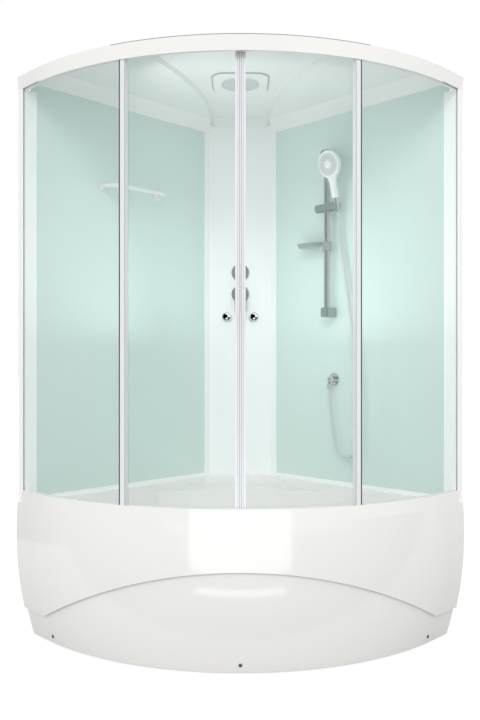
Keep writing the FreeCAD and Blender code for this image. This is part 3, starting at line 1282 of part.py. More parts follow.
def hose():
    route = hose_route()
    radii = [hose_bend(*three) for three in zip(route, route[1:], route[2:])]
    print("hose bend radii", [round(radius) for radius in radii])
    outside = round_bar(route, HOSE_RADIUS, hose_bend)
    bore = round_bar(route, HOSE_BORE, hose_bend)
    length = bent_path(route, hose_bend).Length
    share = outside.Volume / (math.pi * HOSE_RADIUS ** 2 * length)
    print("hose length", round(length), "volume share", share)
    return at_back_wall(outside.cut(bore))


# Towel bar, modelled on the back wall and mirrored to the left one
def towel_bar():
    points = [wall_point(BAR_START, PANEL_FACE, BAR_Z), wall_point(BAR_START, BAR_T, BAR_Z),
              wall_point(BAR_END, BAR_T, BAR_Z), wall_point(BAR_END, PANEL_FACE, BAR_Z)]
    bar = round_bar(points, BAR_RADIUS, steady_bend(BAR_BEND))
    roses = [rod(wall_point(s, PANEL_FACE, BAR_Z), V(0, -1, 0), BAR_ROSE, BAR_ROSE_DEPTH)
             for s in (BAR_START, BAR_END)]
    return mirrored(at_back_wall(bar.fuse(roses).removeSplitter()))


def all_parts():
    parts = {
        "tray": tray(),
        "tray_frame": tray_frame(),
        "levelling_feet": levelling_feet(),
        "apron": apron(),
        "apron_brackets": apron_brackets(),
        "apron_screws": apron_screws(),
        "drain_flange": drain_flange(),
        "drain_cap": drain_cap(),
        "waste_trap": waste_trap(),
        "left_wall_panel": mirrored(wall_panel()),
        "back_wall_panel": back_wall_panel(),
        "corner_column": corner_column(),
        "column_trims": both_sides([column_trim()]),
        "bottom_trims": both_sides([bottom_trim()]),
        "end_trims": both_sides([end_trim()]),
        "wall_posts": both_sides([wall_post()]),
        "top_rail": rail(HIGH_RAIL_LOW, 1, 0),
        "bottom_rail": rail(LOW_RAIL_TOP, -1, TRIM_FACE),
        "roof": roof(),
        "rain_head": rain_head(),
        "nozzle_plate": nozzle_plate(),
        "right_fixed_glass": fixed_glass(),
        "left_fixed_glass": mirrored(fixed_glass()),
        "edge_posts": both_sides([edge_post()]),
        "glazing_seals": glazing_seals(),
        "door_stops": door_stops(),
        "valve_body": valve_body(),
        "valve_plates": valve_plates(),
        "mixer_stem": mixer_stem(),
        "mixer_lever": mixer_lever(),
        "diverter_knob": diverter_knob(),
        "supply_pipes": Part.Compound([rain_pipe(), hand_pipe()]),
        "riser_rail": riser_rail(),
        "riser_brackets": riser_brackets(),
        "slider": slider(),
        "holder": holder(),
        "hose_cone": hose_cone(),
        "handset": handset(),
        "spray_face": spray_face(),
        "soap_dish": soap_dish(),
        "outlet_elbow": outlet_elbow(),
        "hose_nut": hose_nut(),
        "hose": hose(),
        "towel_bar": towel_bar(),
    }
    door = {
        "door_glass": door_glass(),
        "magnetic_seal": magnetic_seal(),
        "trailing_seal": trailing_seal(),
        "knob": knob(),
        "roller_axles": Part.Compound(on_door(roller_axle(), ROLLER_Z)),
        "guide_shoes": Part.Compound(on_door(guide_shoe(), GUIDE_Z)),
    }
    wheels = on_door(wheel(), ROLLER_Z)
    door["lead_wheel"] = wheels[0]
    door["trail_wheel"] = wheels[1]
    for name, shape in door.items():
        parts["right_" + name] = shape
        parts["left_" + name] = mirrored(shape)
    return parts


def main():
    os.makedirs("parts", exist_ok=True)
    for name, shape in all_parts().items():
        shape.exportStep(os.path.join("parts", name + ".step"))


main()
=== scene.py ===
import math

import bmesh
import bpy
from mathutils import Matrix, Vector


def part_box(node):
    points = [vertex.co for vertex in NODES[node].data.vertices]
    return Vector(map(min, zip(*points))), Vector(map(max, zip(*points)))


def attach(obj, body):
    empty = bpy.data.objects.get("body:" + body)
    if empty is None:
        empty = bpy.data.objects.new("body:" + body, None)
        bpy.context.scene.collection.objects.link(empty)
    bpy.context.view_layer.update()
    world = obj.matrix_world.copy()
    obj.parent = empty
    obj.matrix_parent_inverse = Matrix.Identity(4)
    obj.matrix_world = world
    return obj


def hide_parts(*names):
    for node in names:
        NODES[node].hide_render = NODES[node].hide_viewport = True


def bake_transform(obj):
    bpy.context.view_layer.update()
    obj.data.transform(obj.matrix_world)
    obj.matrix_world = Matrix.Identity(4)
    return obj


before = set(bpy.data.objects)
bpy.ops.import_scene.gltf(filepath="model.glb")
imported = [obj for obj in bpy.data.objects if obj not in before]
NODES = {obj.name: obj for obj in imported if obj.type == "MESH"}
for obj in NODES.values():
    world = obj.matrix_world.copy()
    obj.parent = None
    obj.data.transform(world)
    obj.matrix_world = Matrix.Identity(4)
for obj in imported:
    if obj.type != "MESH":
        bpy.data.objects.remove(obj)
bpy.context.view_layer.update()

# Plan of the cabin, in metres
CORNER = Vector((-0.600, 0.600, 0.0))
ARC_INSET = 0.104
ARC_AXIS = CORNER + Vector((ARC_INSET, -ARC_INSET, 0.0))
DIAGONAL = Vector((1.0, -1.0, 0.0)).normalized()
SIDEWAYS = Vector((1.0, 1.0, 0.0)).normalized()
UP = Vector((0.0, 0.0, 1.0))
DIAGONAL_ANGLE = 45.0       # degrees between the diagonal and either wall

# Camera on the diagonal, level
IMAGE_WIDTH = 480
IMAGE_HEIGHT = 720
CAMERA_OUT = 3.7588
CAMERA_Z = 1.0613
FOCAL_PIXELS = 767.87
CENTRE_X = 240.39
CENTRE_Y = 358.97
SENSOR = 36.0
CLIP_END = 60.0


# Places
def diagonal_point(v, u, z):
    """A point v out of the room corner, u to the right and z up."""
    return CORNER + DIAGONAL * v + SIDEWAYS * u + UP * z


def wall_point(s, t, z):
    """A point s along the back wall from the corner, t off it and z up."""
    return CORNER + Vector((s, -t, z))


def front_turn(angle):
    """The turn in plan, in radians, for an angle in degrees from the front's middle."""
    return math.radians(angle - DIAGONAL_ANGLE)


def front_point(radius, angle, z):
    """A point on the curved front, at an angle in degrees from its middle."""
    turn = front_turn(angle)
    return ARC_AXIS + Vector((radius * math.cos(turn), radius * math.sin(turn), z))


def circle_turns(count):
    """Even turns round a full circle, in radians."""
    return [2.0 * math.pi * k / count for k in range(count)]


def link(obj):
    bpy.context.scene.collection.objects.link(obj)
    return obj


def make_camera():
    data = bpy.data.cameras.new("camera")
    data.sensor_width = SENSOR
    data.lens = FOCAL_PIXELS * SENSOR / IMAGE_HEIGHT
    data.shift_x = (IMAGE_WIDTH / 2 - CENTRE_X) / IMAGE_HEIGHT
    data.shift_y = (CENTRE_Y - IMAGE_HEIGHT / 2) / IMAGE_HEIGHT
    data.clip_end = CLIP_END
    camera = link(bpy.data.objects.new("camera", data))
    camera.location = diagonal_point(CAMERA_OUT, 0.0, CAMERA_Z)
    camera.rotation_euler = (math.radians(90.0), 0.0, math.radians(DIAGONAL_ANGLE))
    bpy.context.scene.camera = camera


make_camera()


# Materials
SURFACE_IOR = 1.5
COAT_ROUGHNESS = 0.03
LEAST_ROUGHNESS = 0.01
CLOUD_DETAIL = 4.0
RELIEF_DETAIL = 3.0
RELIEF_DEPTH = 0.001
MIX_FACTOR = 0              # places of the colour sockets on a Mix node
MIX_FIRST = 6
MIX_SECOND = 7
MIX_RESULT = 2


def material(name, color, roughness, metallic=0.0, coat=0.0, spread=0.03, grain=8.0,
             bump=0.0, bump_scale=60.0, rough_spread=0.05, alpha=1.0):
    """A Principled surface whose colour, gloss and relief vary a little over the piece."""
    mat = bpy.data.materials.new(name)
    mat.use_nodes = True
    nodes = mat.node_tree.nodes
    links = mat.node_tree.links
    shader = nodes["Principled BSDF"]
    shader.inputs["Metallic"].default_value = metallic
    shader.inputs["IOR"].default_value = SURFACE_IOR
    shader.inputs["Coat Weight"].default_value = coat
    shader.inputs["Coat Roughness"].default_value = COAT_ROUGHNESS
    shader.inputs["Alpha"].default_value = alpha
    place = nodes.new("ShaderNodeTexCoord")
    cloud = nodes.new("ShaderNodeTexNoise")
    cloud.inputs["Scale"].default_value = grain
    cloud.inputs["Detail"].default_value = CLOUD_DETAIL
    links.new(place.outputs["Object"], cloud.inputs["Vector"])
    tint = nodes.new("ShaderNodeMix")
    tint.data_type = "RGBA"
    darker = [channel * (1.0 - spread) for channel in color]
    tint.inputs[MIX_FIRST].default_value = (*darker, 1.0)
    tint.inputs[MIX_SECOND].default_value = (*color, 1.0)
    links.new(cloud.outputs["Fac"], tint.inputs[MIX_FACTOR])
    links.new(tint.outputs[MIX_RESULT], shader.inputs["Base Color"])
    gloss = nodes.new("ShaderNodeMapRange")
    gloss.inputs["To Min"].default_value = max(roughness - rough_spread, LEAST_ROUGHNESS)
    gloss.inputs["To Max"].default_value = roughness + rough_spread
    links.new(cloud.outputs["Fac"], gloss.inputs["Value"])
    links.new(gloss.outputs["Result"], shader.inputs["Roughness"])
    if bump:
        fine = nodes.new("ShaderNodeTexNoise")
        fine.inputs["Scale"].default_value = bump_scale
        fine.inputs["Detail"].default_value = RELIEF_DETAIL
        relief = nodes.new("ShaderNodeBump")
        relief.inputs["Strength"].default_value = bump
        relief.inputs["Distance"].default_value = RELIEF_DEPTH
        links.new(place.outputs["Object"], fine.inputs["Vector"])
        links.new(fine.outputs["Fac"], relief.inputs["Height"])
        links.new(relief.outputs["Normal"], shader.inputs["Normal"])
    return mat


WHITE = material("white_acrylic", (0.86, 0.852, 0.825), 0.14, coat=0.5, spread=0.015,
                 bump=0.02, bump_scale=18.0)
ROOF_WHITE = material("roof_white", (0.85, 0.875, 0.865), 0.30, spread=0.02, bump=0.03, bump_scale=30.0)
PROFILE = material("cream_profile", (0.90, 0.893, 0.865), 0.25, spread=0.015, bump=0.03, bump_scale=120.0)
POST = material("post_white", (0.96, 0.957, 0.945), 0.30, spread=0.015, bump=0.03, bump_scale=120.0)
TRIM = material("pale_trim", (0.93, 0.975, 0.97), 0.25, spread=0.015, bump=0.03, bump_scale=120.0)
MINT = material("mint_panel", (0.595, 0.755, 0.712), 0.14, coat=0.2, spread=0.02, grain=2.0)
COLUMN = material("column_white", (0.92, 0.96, 0.96), 0.20, spread=0.015, grain=2.0)
GLASS = material("clear_glass", (0.86, 0.95, 0.925), 0.03, spread=0.01, grain=2.0,
                 rough_spread=0.01, alpha=0.10)
SEAL = material("clear_seal", (0.86, 0.87, 0.89), 0.30, spread=0.04, grain=30.0)
FIN = material("clear_fin", (0.80, 0.84, 0.84), 0.20, spread=0.04, grain=30.0, alpha=0.08)
EDGE = material("edge_strip", (0.80, 0.81, 0.82), 0.30, spread=0.04, grain=30.0)
# Grey of the seal ribs; also painted shade in the grooves of the edge strips.
SEAL_RIB_AND_GROOVE_SHADE = material("seal_rib_and_groove_shade", (0.50, 0.51, 0.56), 0.35, spread=0.06, grain=30.0)
# Black of the rubber stops; also painted shade in the apron screws' cross recesses.
RUBBER_AND_SHADE = material("dark_rubber", (0.03, 0.03, 0.032), 0.50, spread=0.3, grain=40.0,
                  bump=0.2, bump_scale=300.0)
# Painted shadow: the grey of strips that stand in for shade in gaps.
SHADOW_GREY = material("painted_shadow_grey", (0.36, 0.40, 0.39), 0.45, spread=0.08, grain=40.0,
                       bump=0.1, bump_scale=300.0)
ZINC = material("zinc_steel", (0.48, 0.49, 0.50), 0.35, metallic=1.0, spread=0.25, grain=25.0, bump=0.1)
KNOB = material("bright_chrome", (0.90, 0.905, 0.91), 0.04, metallic=1.0, spread=0.05, grain=20.0,
                rough_spread=0.02)
CHROME = material("chrome", (0.66, 0.67, 0.68), 0.06, metallic=1.0, spread=0.08, grain=20.0,
                  rough_spread=0.03)
SATIN_CHROME = material("satin_chrome", (0.46, 0.50, 0.50), 0.22, metallic=1.0, spread=0.10, grain=20.0)
DARK_CHROME = material("dark_chrome", (0.27, 0.33, 0.32), 0.25, metallic=1.0, spread=0.12, grain=20.0)
DISH = material("dish_grey", (0.20, 0.24, 0.24), 0.15, coat=0.3, spread=0.06, grain=20.0)
PLASTIC = material("white_plastic", (0.82, 0.83, 0.82), 0.35, spread=0.03, grain=20.0,
                   bump=0.05, bump_scale=200.0)
HANDSET = material("handset_white", (0.85, 0.885, 0.89), 0.16, spread=0.02, grain=20.0, coat=0.3)
NOZZLE = material("nozzle_rubber", (0.30, 0.33, 0.33), 0.50, spread=0.10, grain=60.0)
SPRAY = material("spray_grey", (0.60, 0.65, 0.66), 0.30, spread=0.05, grain=40.0)
RAIN = material("rain_grey", (0.68, 0.73, 0.72), 0.30, spread=0.05, grain=40.0)
BRASS = material("bare_brass", (0.52, 0.36, 0.13), 0.3, metallic=1.0, spread=0.2, grain=30.0, bump=0.1)
HOSE = material("hose_metal", (0.64, 0.675, 0.68), 0.30, metallic=0.4, spread=0.06, grain=60.0)

NODE_MATERIALS = {
    WHITE: ("tray", "apron", "bottom_rail"),
    ROOF_WHITE: ("roof", "rain_head"),
    PROFILE: ("top_rail",),
    POST: ("wall_posts",),
    TRIM: ("end_trims", "column_trims", "bottom_trims"),
    MINT: ("left_wall_panel", "back_wall_panel"),
    COLUMN: ("corner_column",),
    GLASS: ("left_fixed_glass", "right_fixed_glass", "left_door_glass", "right_door_glass"),
    EDGE: ("edge_posts",),
    SEAL: ("glazing_seals", "left_magnetic_seal", "right_magnetic_seal"),
    FIN: ("left_trailing_seal", "right_trailing_seal"),
    RUBBER_AND_SHADE: ("door_stops",),
    ZINC: ("tray_frame", "apron_brackets", "levelling_feet"),
    CHROME: ("drain_flange", "drain_cap", "diverter_knob", "hose_cone", "outlet_elbow", "hose_nut",
             "left_roller_axles", "right_roller_axles"),
    KNOB: ("left_knob", "right_knob"),
    SATIN_CHROME: ("riser_rail", "valve_plates"),
    DARK_CHROME: ("apron_screws", "riser_brackets", "slider", "holder", "mixer_stem", "mixer_lever"),
    DISH: ("soap_dish",),
    PLASTIC: ("waste_trap", "towel_bar", "left_guide_shoes", "right_guide_shoes",
              "left_lead_wheel", "right_lead_wheel", "left_trail_wheel", "right_trail_wheel"),
    HANDSET: ("handset",),
    SPRAY: ("spray_face",),
    RAIN: ("nozzle_plate",),
    BRASS: ("valve_body", "supply_pipes"),
    HOSE: ("hose",),
}

for mat, names in NODE_MATERIALS.items():
    for name in names:
        mesh = NODES[name].data
        mesh.materials.clear()
        mesh.materials.append(mat)


# Mesh helpers
def from_bmesh(name, bm, mat):
    mesh = bpy.data.meshes.new(name)
    bm.normal_update()
    bm.to_mesh(mesh)
    bm.free()
    mesh.materials.append(mat)
    return link(bpy.data.objects.new(name, mesh))


def skin(bm, rings, closed_ends=True):
    """Faces between closed rings of points, one ring after another."""
    made = [[bm.verts.new(point) for point in ring] for ring in rings]
    count = len(made[0])
    for low, high in zip(made, made[1:]):
        for j in range(count):
            bm.faces.new((low[j], low[(j + 1) % count], high[(j + 1) % count], high[j]))
    if closed_ends:
        bm.faces.new(made[0][::-1])
        bm.faces.new(made[-1])


def turned_rings(section, sides, at):
    """Rings of a round form from its radii and rises, where at(x, y, rise) places a point."""
    return [[at(radius * math.cos(turn), radius * math.sin(turn), rise) for turn in circle_turns(sides)]
            for radius, rise in section]


def finish_piece(name, bm, mat, body):
    bmesh.ops.recalc_face_normals(bm, faces=bm.faces)
    piece = from_bmesh(name, bm, mat)
    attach(piece, body)


# Hose from the handset's cone down to the outlet under the hand shower
HOSE_DIAMETER = 0.013
HOSE_SIDES = 14
RIB_PITCH = 0.0028
RIB_DEPTH = 0.00012
SOCKET = wall_point(0.648, 0.070, 1.709)
LEAN = math.radians(15.0)
CONE_DOWN = 0.024
FIRST_RUN = 0.060


def handset_point(x, y, z):
    """A point of the leaning handset: x along the wall, y towards it, z up its handle."""
    along_y = y * math.cos(LEAN) - z * math.sin(LEAN)
    along_z = y * math.sin(LEAN) + z * math.cos(LEAN)
    return SOCKET + Vector((x, along_y, along_z))


HOSE_ROUTE = [handset_point(0, 0, -CONE_DOWN), handset_point(0, 0, -CONE_DOWN - FIRST_RUN)]
HOSE_ROUTE += [wall_point(*place) for place in (
    (0.656, 0.045, 1.545), (0.676, 0.047, 1.424), (0.705, 0.052, 1.268), (0.733, 0.057, 1.112),
    (0.750, 0.060, 0.962), (0.755, 0.061, 0.832), (0.7535, 0.060, 0.742), (0.752, 0.060, 0.684),
    (0.718, 0.060, 0.650), (0.670, 0.060, 0.650), (0.636, 0.060, 0.684), (0.626, 0.059, 0.746),
    (0.612, 0.058, 0.815), (0.600, 0.057, 0.878), (0.600, 0.057, 0.934))]
ROUTE_STEPS = 40                    # spline steps between two control points
HOSE_END = 0.026                    # short end under the cone
UPPER_LENGTH = 0.130                # stretch after the short end
BEND_LENGTH = 0.032                 # a length into that stretch, next to the short end
HOSE_HANG = (0.152, 0.540, 0.684)
HOSE_LIFT = (0.4645, 0.540, 0.8745)


def route_points(name, route):
    """Points along the smooth spline that has the route as its control points."""
    data = bpy.data.curves.new(name, "CURVE")
    data.dimensions = "3D"
    spline = data.splines.new("NURBS")
    spline.points.add(len(route) - 1)
    for point, place in zip(spline.points, route):
        point.co = (*place, 1.0)
    spline.order_u = 3
    spline.use_endpoint_u = True
    data.resolution_u = ROUTE_STEPS
    obj = link(bpy.data.objects.new(name, data))
    mesh = bpy.data.meshes.new_from_object(obj.evaluated_get(bpy.context.evaluated_depsgraph_get()))
    points = [vertex.co.copy() for vertex in mesh.vertices]
    bpy.data.objects.remove(obj)
    bpy.data.curves.remove(data)
    bpy.data.meshes.remove(mesh)
    if (points[0] - route[0]).length > (points[-1] - route[0]).length:
        points.reverse()
    return points


def spaced(points, step):
    """The same line with points an even step apart."""
    travelled = [0.0]
    for start, end in zip(points, points[1:]):
        travelled.append(travelled[-1] + (end - start).length)
    count = max(int(travelled[-1] / step), 2)
    placed = []
    index = 0
    for k in range(count + 1):
        want = travelled[-1] * k / count
        while index < len(points) - 2 and travelled[index + 1] < want:
            index += 1
        span = travelled[index + 1] - travelled[index]
        share = 0.0 if span == 0 else (want - travelled[index]) / span
        placed.append(points[index].lerp(points[index + 1], share))
    return placed


def tube(name, points, radius_at, sides, mat):
    """A closed round tube along points, with its radius from the ring's number."""
    bm = bmesh.new()
    turns = circle_turns(sides)
    across = (points[1] - points[0]).orthogonal().normalized()
    rings = []
    for k, point in enumerate(points):
        ahead = points[min(k + 1, len(points) - 1)] - points[max(k - 1, 0)]
        ahead.normalize()
        across = (across - ahead * across.dot(ahead)).normalized()
        other = ahead.cross(across)
        radius = radius_at(k)
        rings.append([point + (across * math.cos(turn) + other * math.sin(turn)) * radius for turn in turns])
    skin(bm, rings)
    for face in bm.faces:
        face.smooth = len(face.verts) == 4
    return from_bmesh(name, bm, mat)


def hose_radius(k):
    """The hose's radius at its ring k, where every other ring is a groove."""
    return HOSE_DIAMETER / 2 - RIB_DEPTH * (k % 2)


def make_hose():
    step = RIB_PITCH / 2
    points = spaced(route_points("hose_route", HOSE_ROUTE), step)
    first = int(HOSE_END / step)
    second = first + int(UPPER_LENGTH / step)
    bend_low = points[first + int(BEND_LENGTH / step)]
    pieces = (("hose_end", points[:first + 1], "holder", "handset", points[first], points[0]),
              ("upper_hose", points[first:second + 1], "slider", "holder", bend_low, points[first]),
              ("hanging_hose", points[second:], "cabin", "slider", HOSE_HANG, HOSE_LIFT))
    for name, downward, low_body, high_body, low_end, high_end in pieces:
        stretch = downward[::-1]
        piece = tube(name, stretch, hose_radius, HOSE_SIDES, HOSE)
        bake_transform(piece)
        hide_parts("hose")


make_hose()


# Strips on the curved front, with angles in degrees from its middle
RAIL_INNER_Z = (0.566, 2.082)
SEAL_FACE = 1.0580
EDGE_FACE = 1.0845
STRIP_RISE = 0.0006
STRIP_TAPER = 0.08
SEAL_RIBS = ((0.0033, 0.0028), (0.0098, 0.0016))     # distance from the middle, and width
# Dark lines along the left and right edge strips.
EDGE_LINE_ANGLES = (22.17, 22.39)
# Painted shade: grey strips on the edge strips stand in for the shade in a groove.
GROOVE_SHADE_ANGLES = (21.14, 21.30)
# Painted shadow: a grey strip on the top rail under the roof's edge stands in for the shade in the gap
# there.
ROOF_SHADOW_RADII = (1.0898, 1.0906)
ROOF_SHADOW_Z = (2.1284, 2.1316)
ROOF_SHADOW_HALF = 24.0
RAIL_LIP_RADII = (1.0853, 1.0878)
RAIL_LIP_Z = (2.0775, 2.0822)
RAIL_LIP_HALF = 43.0


def front_strip(bm, radii, heights, angles, steps):
    """A closed strip on the curved front, with its outer face a little narrower than its foot."""
    lean = (angles[1] - angles[0]) * STRIP_TAPER / steps
    rings = []
    for k in range(steps + 1):
        angle = angles[0] + (angles[1] - angles[0]) * k / steps
        outer = angle + lean * (1 - 2 * k / steps)
        rings.append([front_point(radii[0], angle, heights[0]), front_point(radii[1], outer, heights[0]),
                      front_point(radii[1], outer, heights[1]), front_point(radii[0], angle, heights[1])])
    skin(bm, rings)


def strip_piece(name, mat, body, strips):
    bm = bmesh.new()
    for radii, heights, angles, steps in strips:
        front_strip(bm, radii, heights, angles, steps)
    finish_piece(name, bm, mat, body)


def degrees_of(length, radius):
    return math.degrees(length / radius)


def make_seal_ribs():
    for body, side in (("left_door", -1), ("right_door", 1)):
        strips = []
        for place, width in SEAL_RIBS:
            angle = side * degrees_of(place, SEAL_FACE)
            half = degrees_of(width / 2, SEAL_FACE)
            strips.append(((SEAL_FACE, SEAL_FACE + STRIP_RISE), RAIL_INNER_Z, (angle - half, angle + half), 1))
        strip_piece(body + "_seal_ribs", SEAL_RIB_AND_GROOVE_SHADE, body, strips)


def both_sides(angles):
    """The same upright line on the left and right edge strip."""
    radii = (EDGE_FACE, EDGE_FACE + STRIP_RISE)
    return [(radii, RAIL_INNER_Z, (side * angles[0], side * angles[1]), 1) for side in (-1, 1)]


def along_rail(radii, heights, half):
    """A strip along the top rail, with one step per degree."""
    return [(radii, heights, (-half, half), int(2 * half))]


def make_front_lines():
    roof_shadow = along_rail(ROOF_SHADOW_RADII, ROOF_SHADOW_Z, ROOF_SHADOW_HALF)
    rail_lip = along_rail(RAIL_LIP_RADII, RAIL_LIP_Z, RAIL_LIP_HALF)
    strip_piece("edge_dark_lines", RUBBER_AND_SHADE, "cabin", both_sides(EDGE_LINE_ANGLES))
    # Painted groove shade on both edge strips.
    strip_piece("edge_groove_shade", SEAL_RIB_AND_GROOVE_SHADE, "cabin", both_sides(GROOVE_SHADE_ANGLES))
    # Painted shadow line under the roof's edge.
    strip_piece("roof_painted_shadow", SHADOW_GREY, "cabin", roof_shadow)
    strip_piece("top_rail_lip", PROFILE, "cabin", rail_lip)


make_seal_ribs()
make_front_lines()


# Sprays, with rings given by radius and number of nozzles, and nozzles by radius and rise
RAIN_RINGS = ((0.012, 6), (0.024, 12), (0.036, 18), (0.048, 24), (0.060, 30), (0.071, 36))
RAIN_NOZZLE = (0.0024, 0.0022)
HAND_RINGS = ((0.027, 18), (0.033, 22), (0.039, 26))
HAND_NOZZLE = (0.0016, 0.0014)
NOZZLE_SIDES = 8
NOZZLE_TAPER = ((1.0, 0.0), (0.85, 0.6), (0.45, 1.0))   # shares of the radius and of the rise
HAND_FACE = 0.017                   # face of the spray plate, in front of the handle's axis
HAND_CENTRE = 0.175                 # its middle, up the handle
SPRAY_CENTRE = ((0.0165, 0.0), (0.0160, 0.0012), (0.0140, 0.0018), (0.0060, 0.0021))   # radius and rise
SPRAY_CENTRE_SIDES = 40
RAIN_HALF = 0.110
RAIN_CORNER = 0.048
CORNER_STEPS = 8
CEILING_RISE = 0.0040               # ceiling above the nozzle plate
# Painted shadow: a grey band round the rain head stands in for the shade in the gap between the head and the
# ceiling.
RAIN_SHADOW_RING = ((0.0002, 0.0038), (0.0042, 0.0034), (0.0055, 0.0004), (0.0002, 0.0002))   # growth and drop
WELD = 0.00001


def ring_places(rings):
    return [(radius * math.cos(turn), radius * math.sin(turn))
            for radius, count in rings for turn in circle_turns(count)]


def add_nozzles(bm, places, at, radius, rise):
    """Tapered nozzles, where at(x, y, h) is a point h out of the face."""
    section = [(radius * width, rise * height) for width, height in NOZZLE_TAPER]
    for x, y in places:
        skin(bm, turned_rings(section, NOZZLE_SIDES, lambda dx, dy, h: at(x + dx, y + dy, h)))


def rain_ring(centre, grow, z):
    """A square ring with round corners about the rain head, square to the diagonal."""
    reach = RAIN_HALF - RAIN_CORNER
    round_by = RAIN_CORNER + grow
    quarter_turn = math.pi / 2
    ring = []
    for quarter in range(4):
        across = math.copysign(reach, math.cos(quarter_turn * (quarter + 0.5)))
        along = math.copysign(reach, math.sin(quarter_turn * (quarter + 0.5)))
        for k in range(CORNER_STEPS + 1):
            turn = quarter_turn * (quarter + k / CORNER_STEPS)
            ring.append(centre + SIDEWAYS * (across + round_by * math.cos(turn))
                        + DIAGONAL * (along + round_by * math.sin(turn)) + UP * z)
    return ring


def make_rain_head():
    low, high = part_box("nozzle_plate")
    centre = Vector(((low[0] + high[0]) / 2, (low[1] + high[1]) / 2, 0.0))
    bm = bmesh.new()
    add_nozzles(bm, ring_places(RAIN_RINGS), lambda x, y, h: centre + Vector((x, y, low[2] - h)),
                *RAIN_NOZZLE)
    finish_piece("rain_nozzles", bm, NOZZLE, "cabin")
    # Painted shadow band round the head, up to the ceiling.
    ceiling = high[2] + CEILING_RISE
    rings = [rain_ring(centre, grow, ceiling - drop) for grow, drop in RAIN_SHADOW_RING]
    bm = bmesh.new()
    skin(bm, rings + [rings[0]], closed_ends=False)
    bmesh.ops.remove_doubles(bm, verts=bm.verts, dist=WELD)
    finish_piece("rain_head_painted_shadow", bm, SHADOW_GREY, "cabin")


def spray_point(x, z, rise):
    """A point x across and z up from the middle of the hand spray's face, and rise out of it."""
    return handset_point(x, -HAND_FACE - rise, HAND_CENTRE + z)


def make_hand_spray():
    bm = bmesh.new()
    add_nozzles(bm, ring_places(HAND_RINGS), spray_point, *HAND_NOZZLE)
    finish_piece("hand_nozzles", bm, NOZZLE, "handset")
    bm = bmesh.new()
    skin(bm, turned_rings(SPRAY_CENTRE, SPRAY_CENTRE_SIDES, spray_point))
    finish_piece("spray_centre", bm, HANDSET, "handset")


# Fasteners
SCREW_ANGLES = (-42.5, 0.0, 42.5)
SCREW_REACH = 0.02                  # points nearer than this, sideways, belong to a screw
CROSS_ARM = (0.0036, 0.0007)        # half length and half width of each arm
CROSS_RISES = (0.0001, 0.0004)
SQUARE = ((-1, -1), (1, -1), (1, 1), (-1, 1))
FOOT_REACH = 0.06                   # points nearer than this, in plan, belong to a foot
STUD_RADIUS = 0.0060
THREAD_CLEARANCE = 0.0001
THREAD_DEPTH = 0.0006
THREAD_PITCH = 0.00175
THREAD_SPAN = (0.011, 0.068)
THREAD_SIDES = 14
DRAIN_RING = ((0.0225, 0.0001), (0.0232, 0.0005), (0.0240, 0.0005), (0.0247, 0.0001))   # radius and rise
DRAIN_RING_SIDES = 48


def clusters(mesh, reach):
    """Groups of a mesh's points that stand apart from each other, seen from above."""
    groups = []
    for vertex in mesh.vertices:
        for group in groups:
            if (vertex.co.xy - group[0].xy).length < reach:
                group.append(vertex.co.copy())
                break
        else:
            groups.append([vertex.co.copy()])
    return groups


def middle_of(values):
    return (min(values) + max(values)) / 2


# Painted shade: raised black crosses on the apron screws stand in for the shade in their cross recesses.
def make_screw_cross_shade():
    points = [vertex.co - ARC_AXIS for vertex in NODES["apron_screws"].data.vertices]
    length, width = CROSS_ARM
    bm = bmesh.new()
    for angle in SCREW_ANGLES:
        turn = front_turn(angle)
        out = Vector((math.cos(turn), math.sin(turn), 0.0))
        side = out.cross(UP)
        near = [point for point in points if abs(point.dot(side)) < SCREW_REACH]
        face = max(point.dot(out) for point in near)
        height = middle_of([point.z for point in near])
        for arm, across in ((side, UP), (UP, side)):
            rings = []
            for rise in CROSS_RISES:
                centre = ARC_AXIS + out * (face + rise) + UP * height
                rings.append([centre + arm * (i * length) + across * (j * width) for i, j in SQUARE])
            skin(bm, rings)
    finish_piece("screw_cross_shade", bm, RUBBER_AND_SHADE, "cabin")


def make_foot_threads():
    bm = bmesh.new()
    half_pitch = THREAD_PITCH / 2
    count = int((THREAD_SPAN[1] - THREAD_SPAN[0]) / THREAD_PITCH * 2)
    for group in clusters(NODES["levelling_feet"].data, FOOT_REACH):
        x = middle_of([point.x for point in group])
        y = middle_of([point.y for point in group])
        rings = []
        for k in range(count + 1):
            radius = STUD_RADIUS + THREAD_CLEARANCE + THREAD_DEPTH * (k % 2)
            z = THREAD_SPAN[0] + k * half_pitch
            rings.append([Vector((x + radius * math.cos(turn), y + radius * math.sin(turn),
                                  z + THREAD_PITCH * turn / (2 * math.pi)))
                          for turn in circle_turns(THREAD_SIDES)])
        skin(bm, rings)
    finish_piece("foot_threads", bm, ZINC, "cabin")


def make_drain_ring():
    """The raised ring round the drain cap's top."""
    low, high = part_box("drain_cap")
    centre = Vector(((low[0] + high[0]) / 2, (low[1] + high[1]) / 2, high[2]))
    bm = bmesh.new()
    rings = turned_rings(DRAIN_RING, DRAIN_RING_SIDES, lambda x, y, rise: centre + Vector((x, y, rise)))
    skin(bm, rings, closed_ends=False)
    finish_piece("drain_cap_ring", bm, SATIN_CHROME, "drain_cap")


make_rain_head()
make_hand_spray()
make_screw_cross_shade()
make_foot_threads()
make_drain_ring()


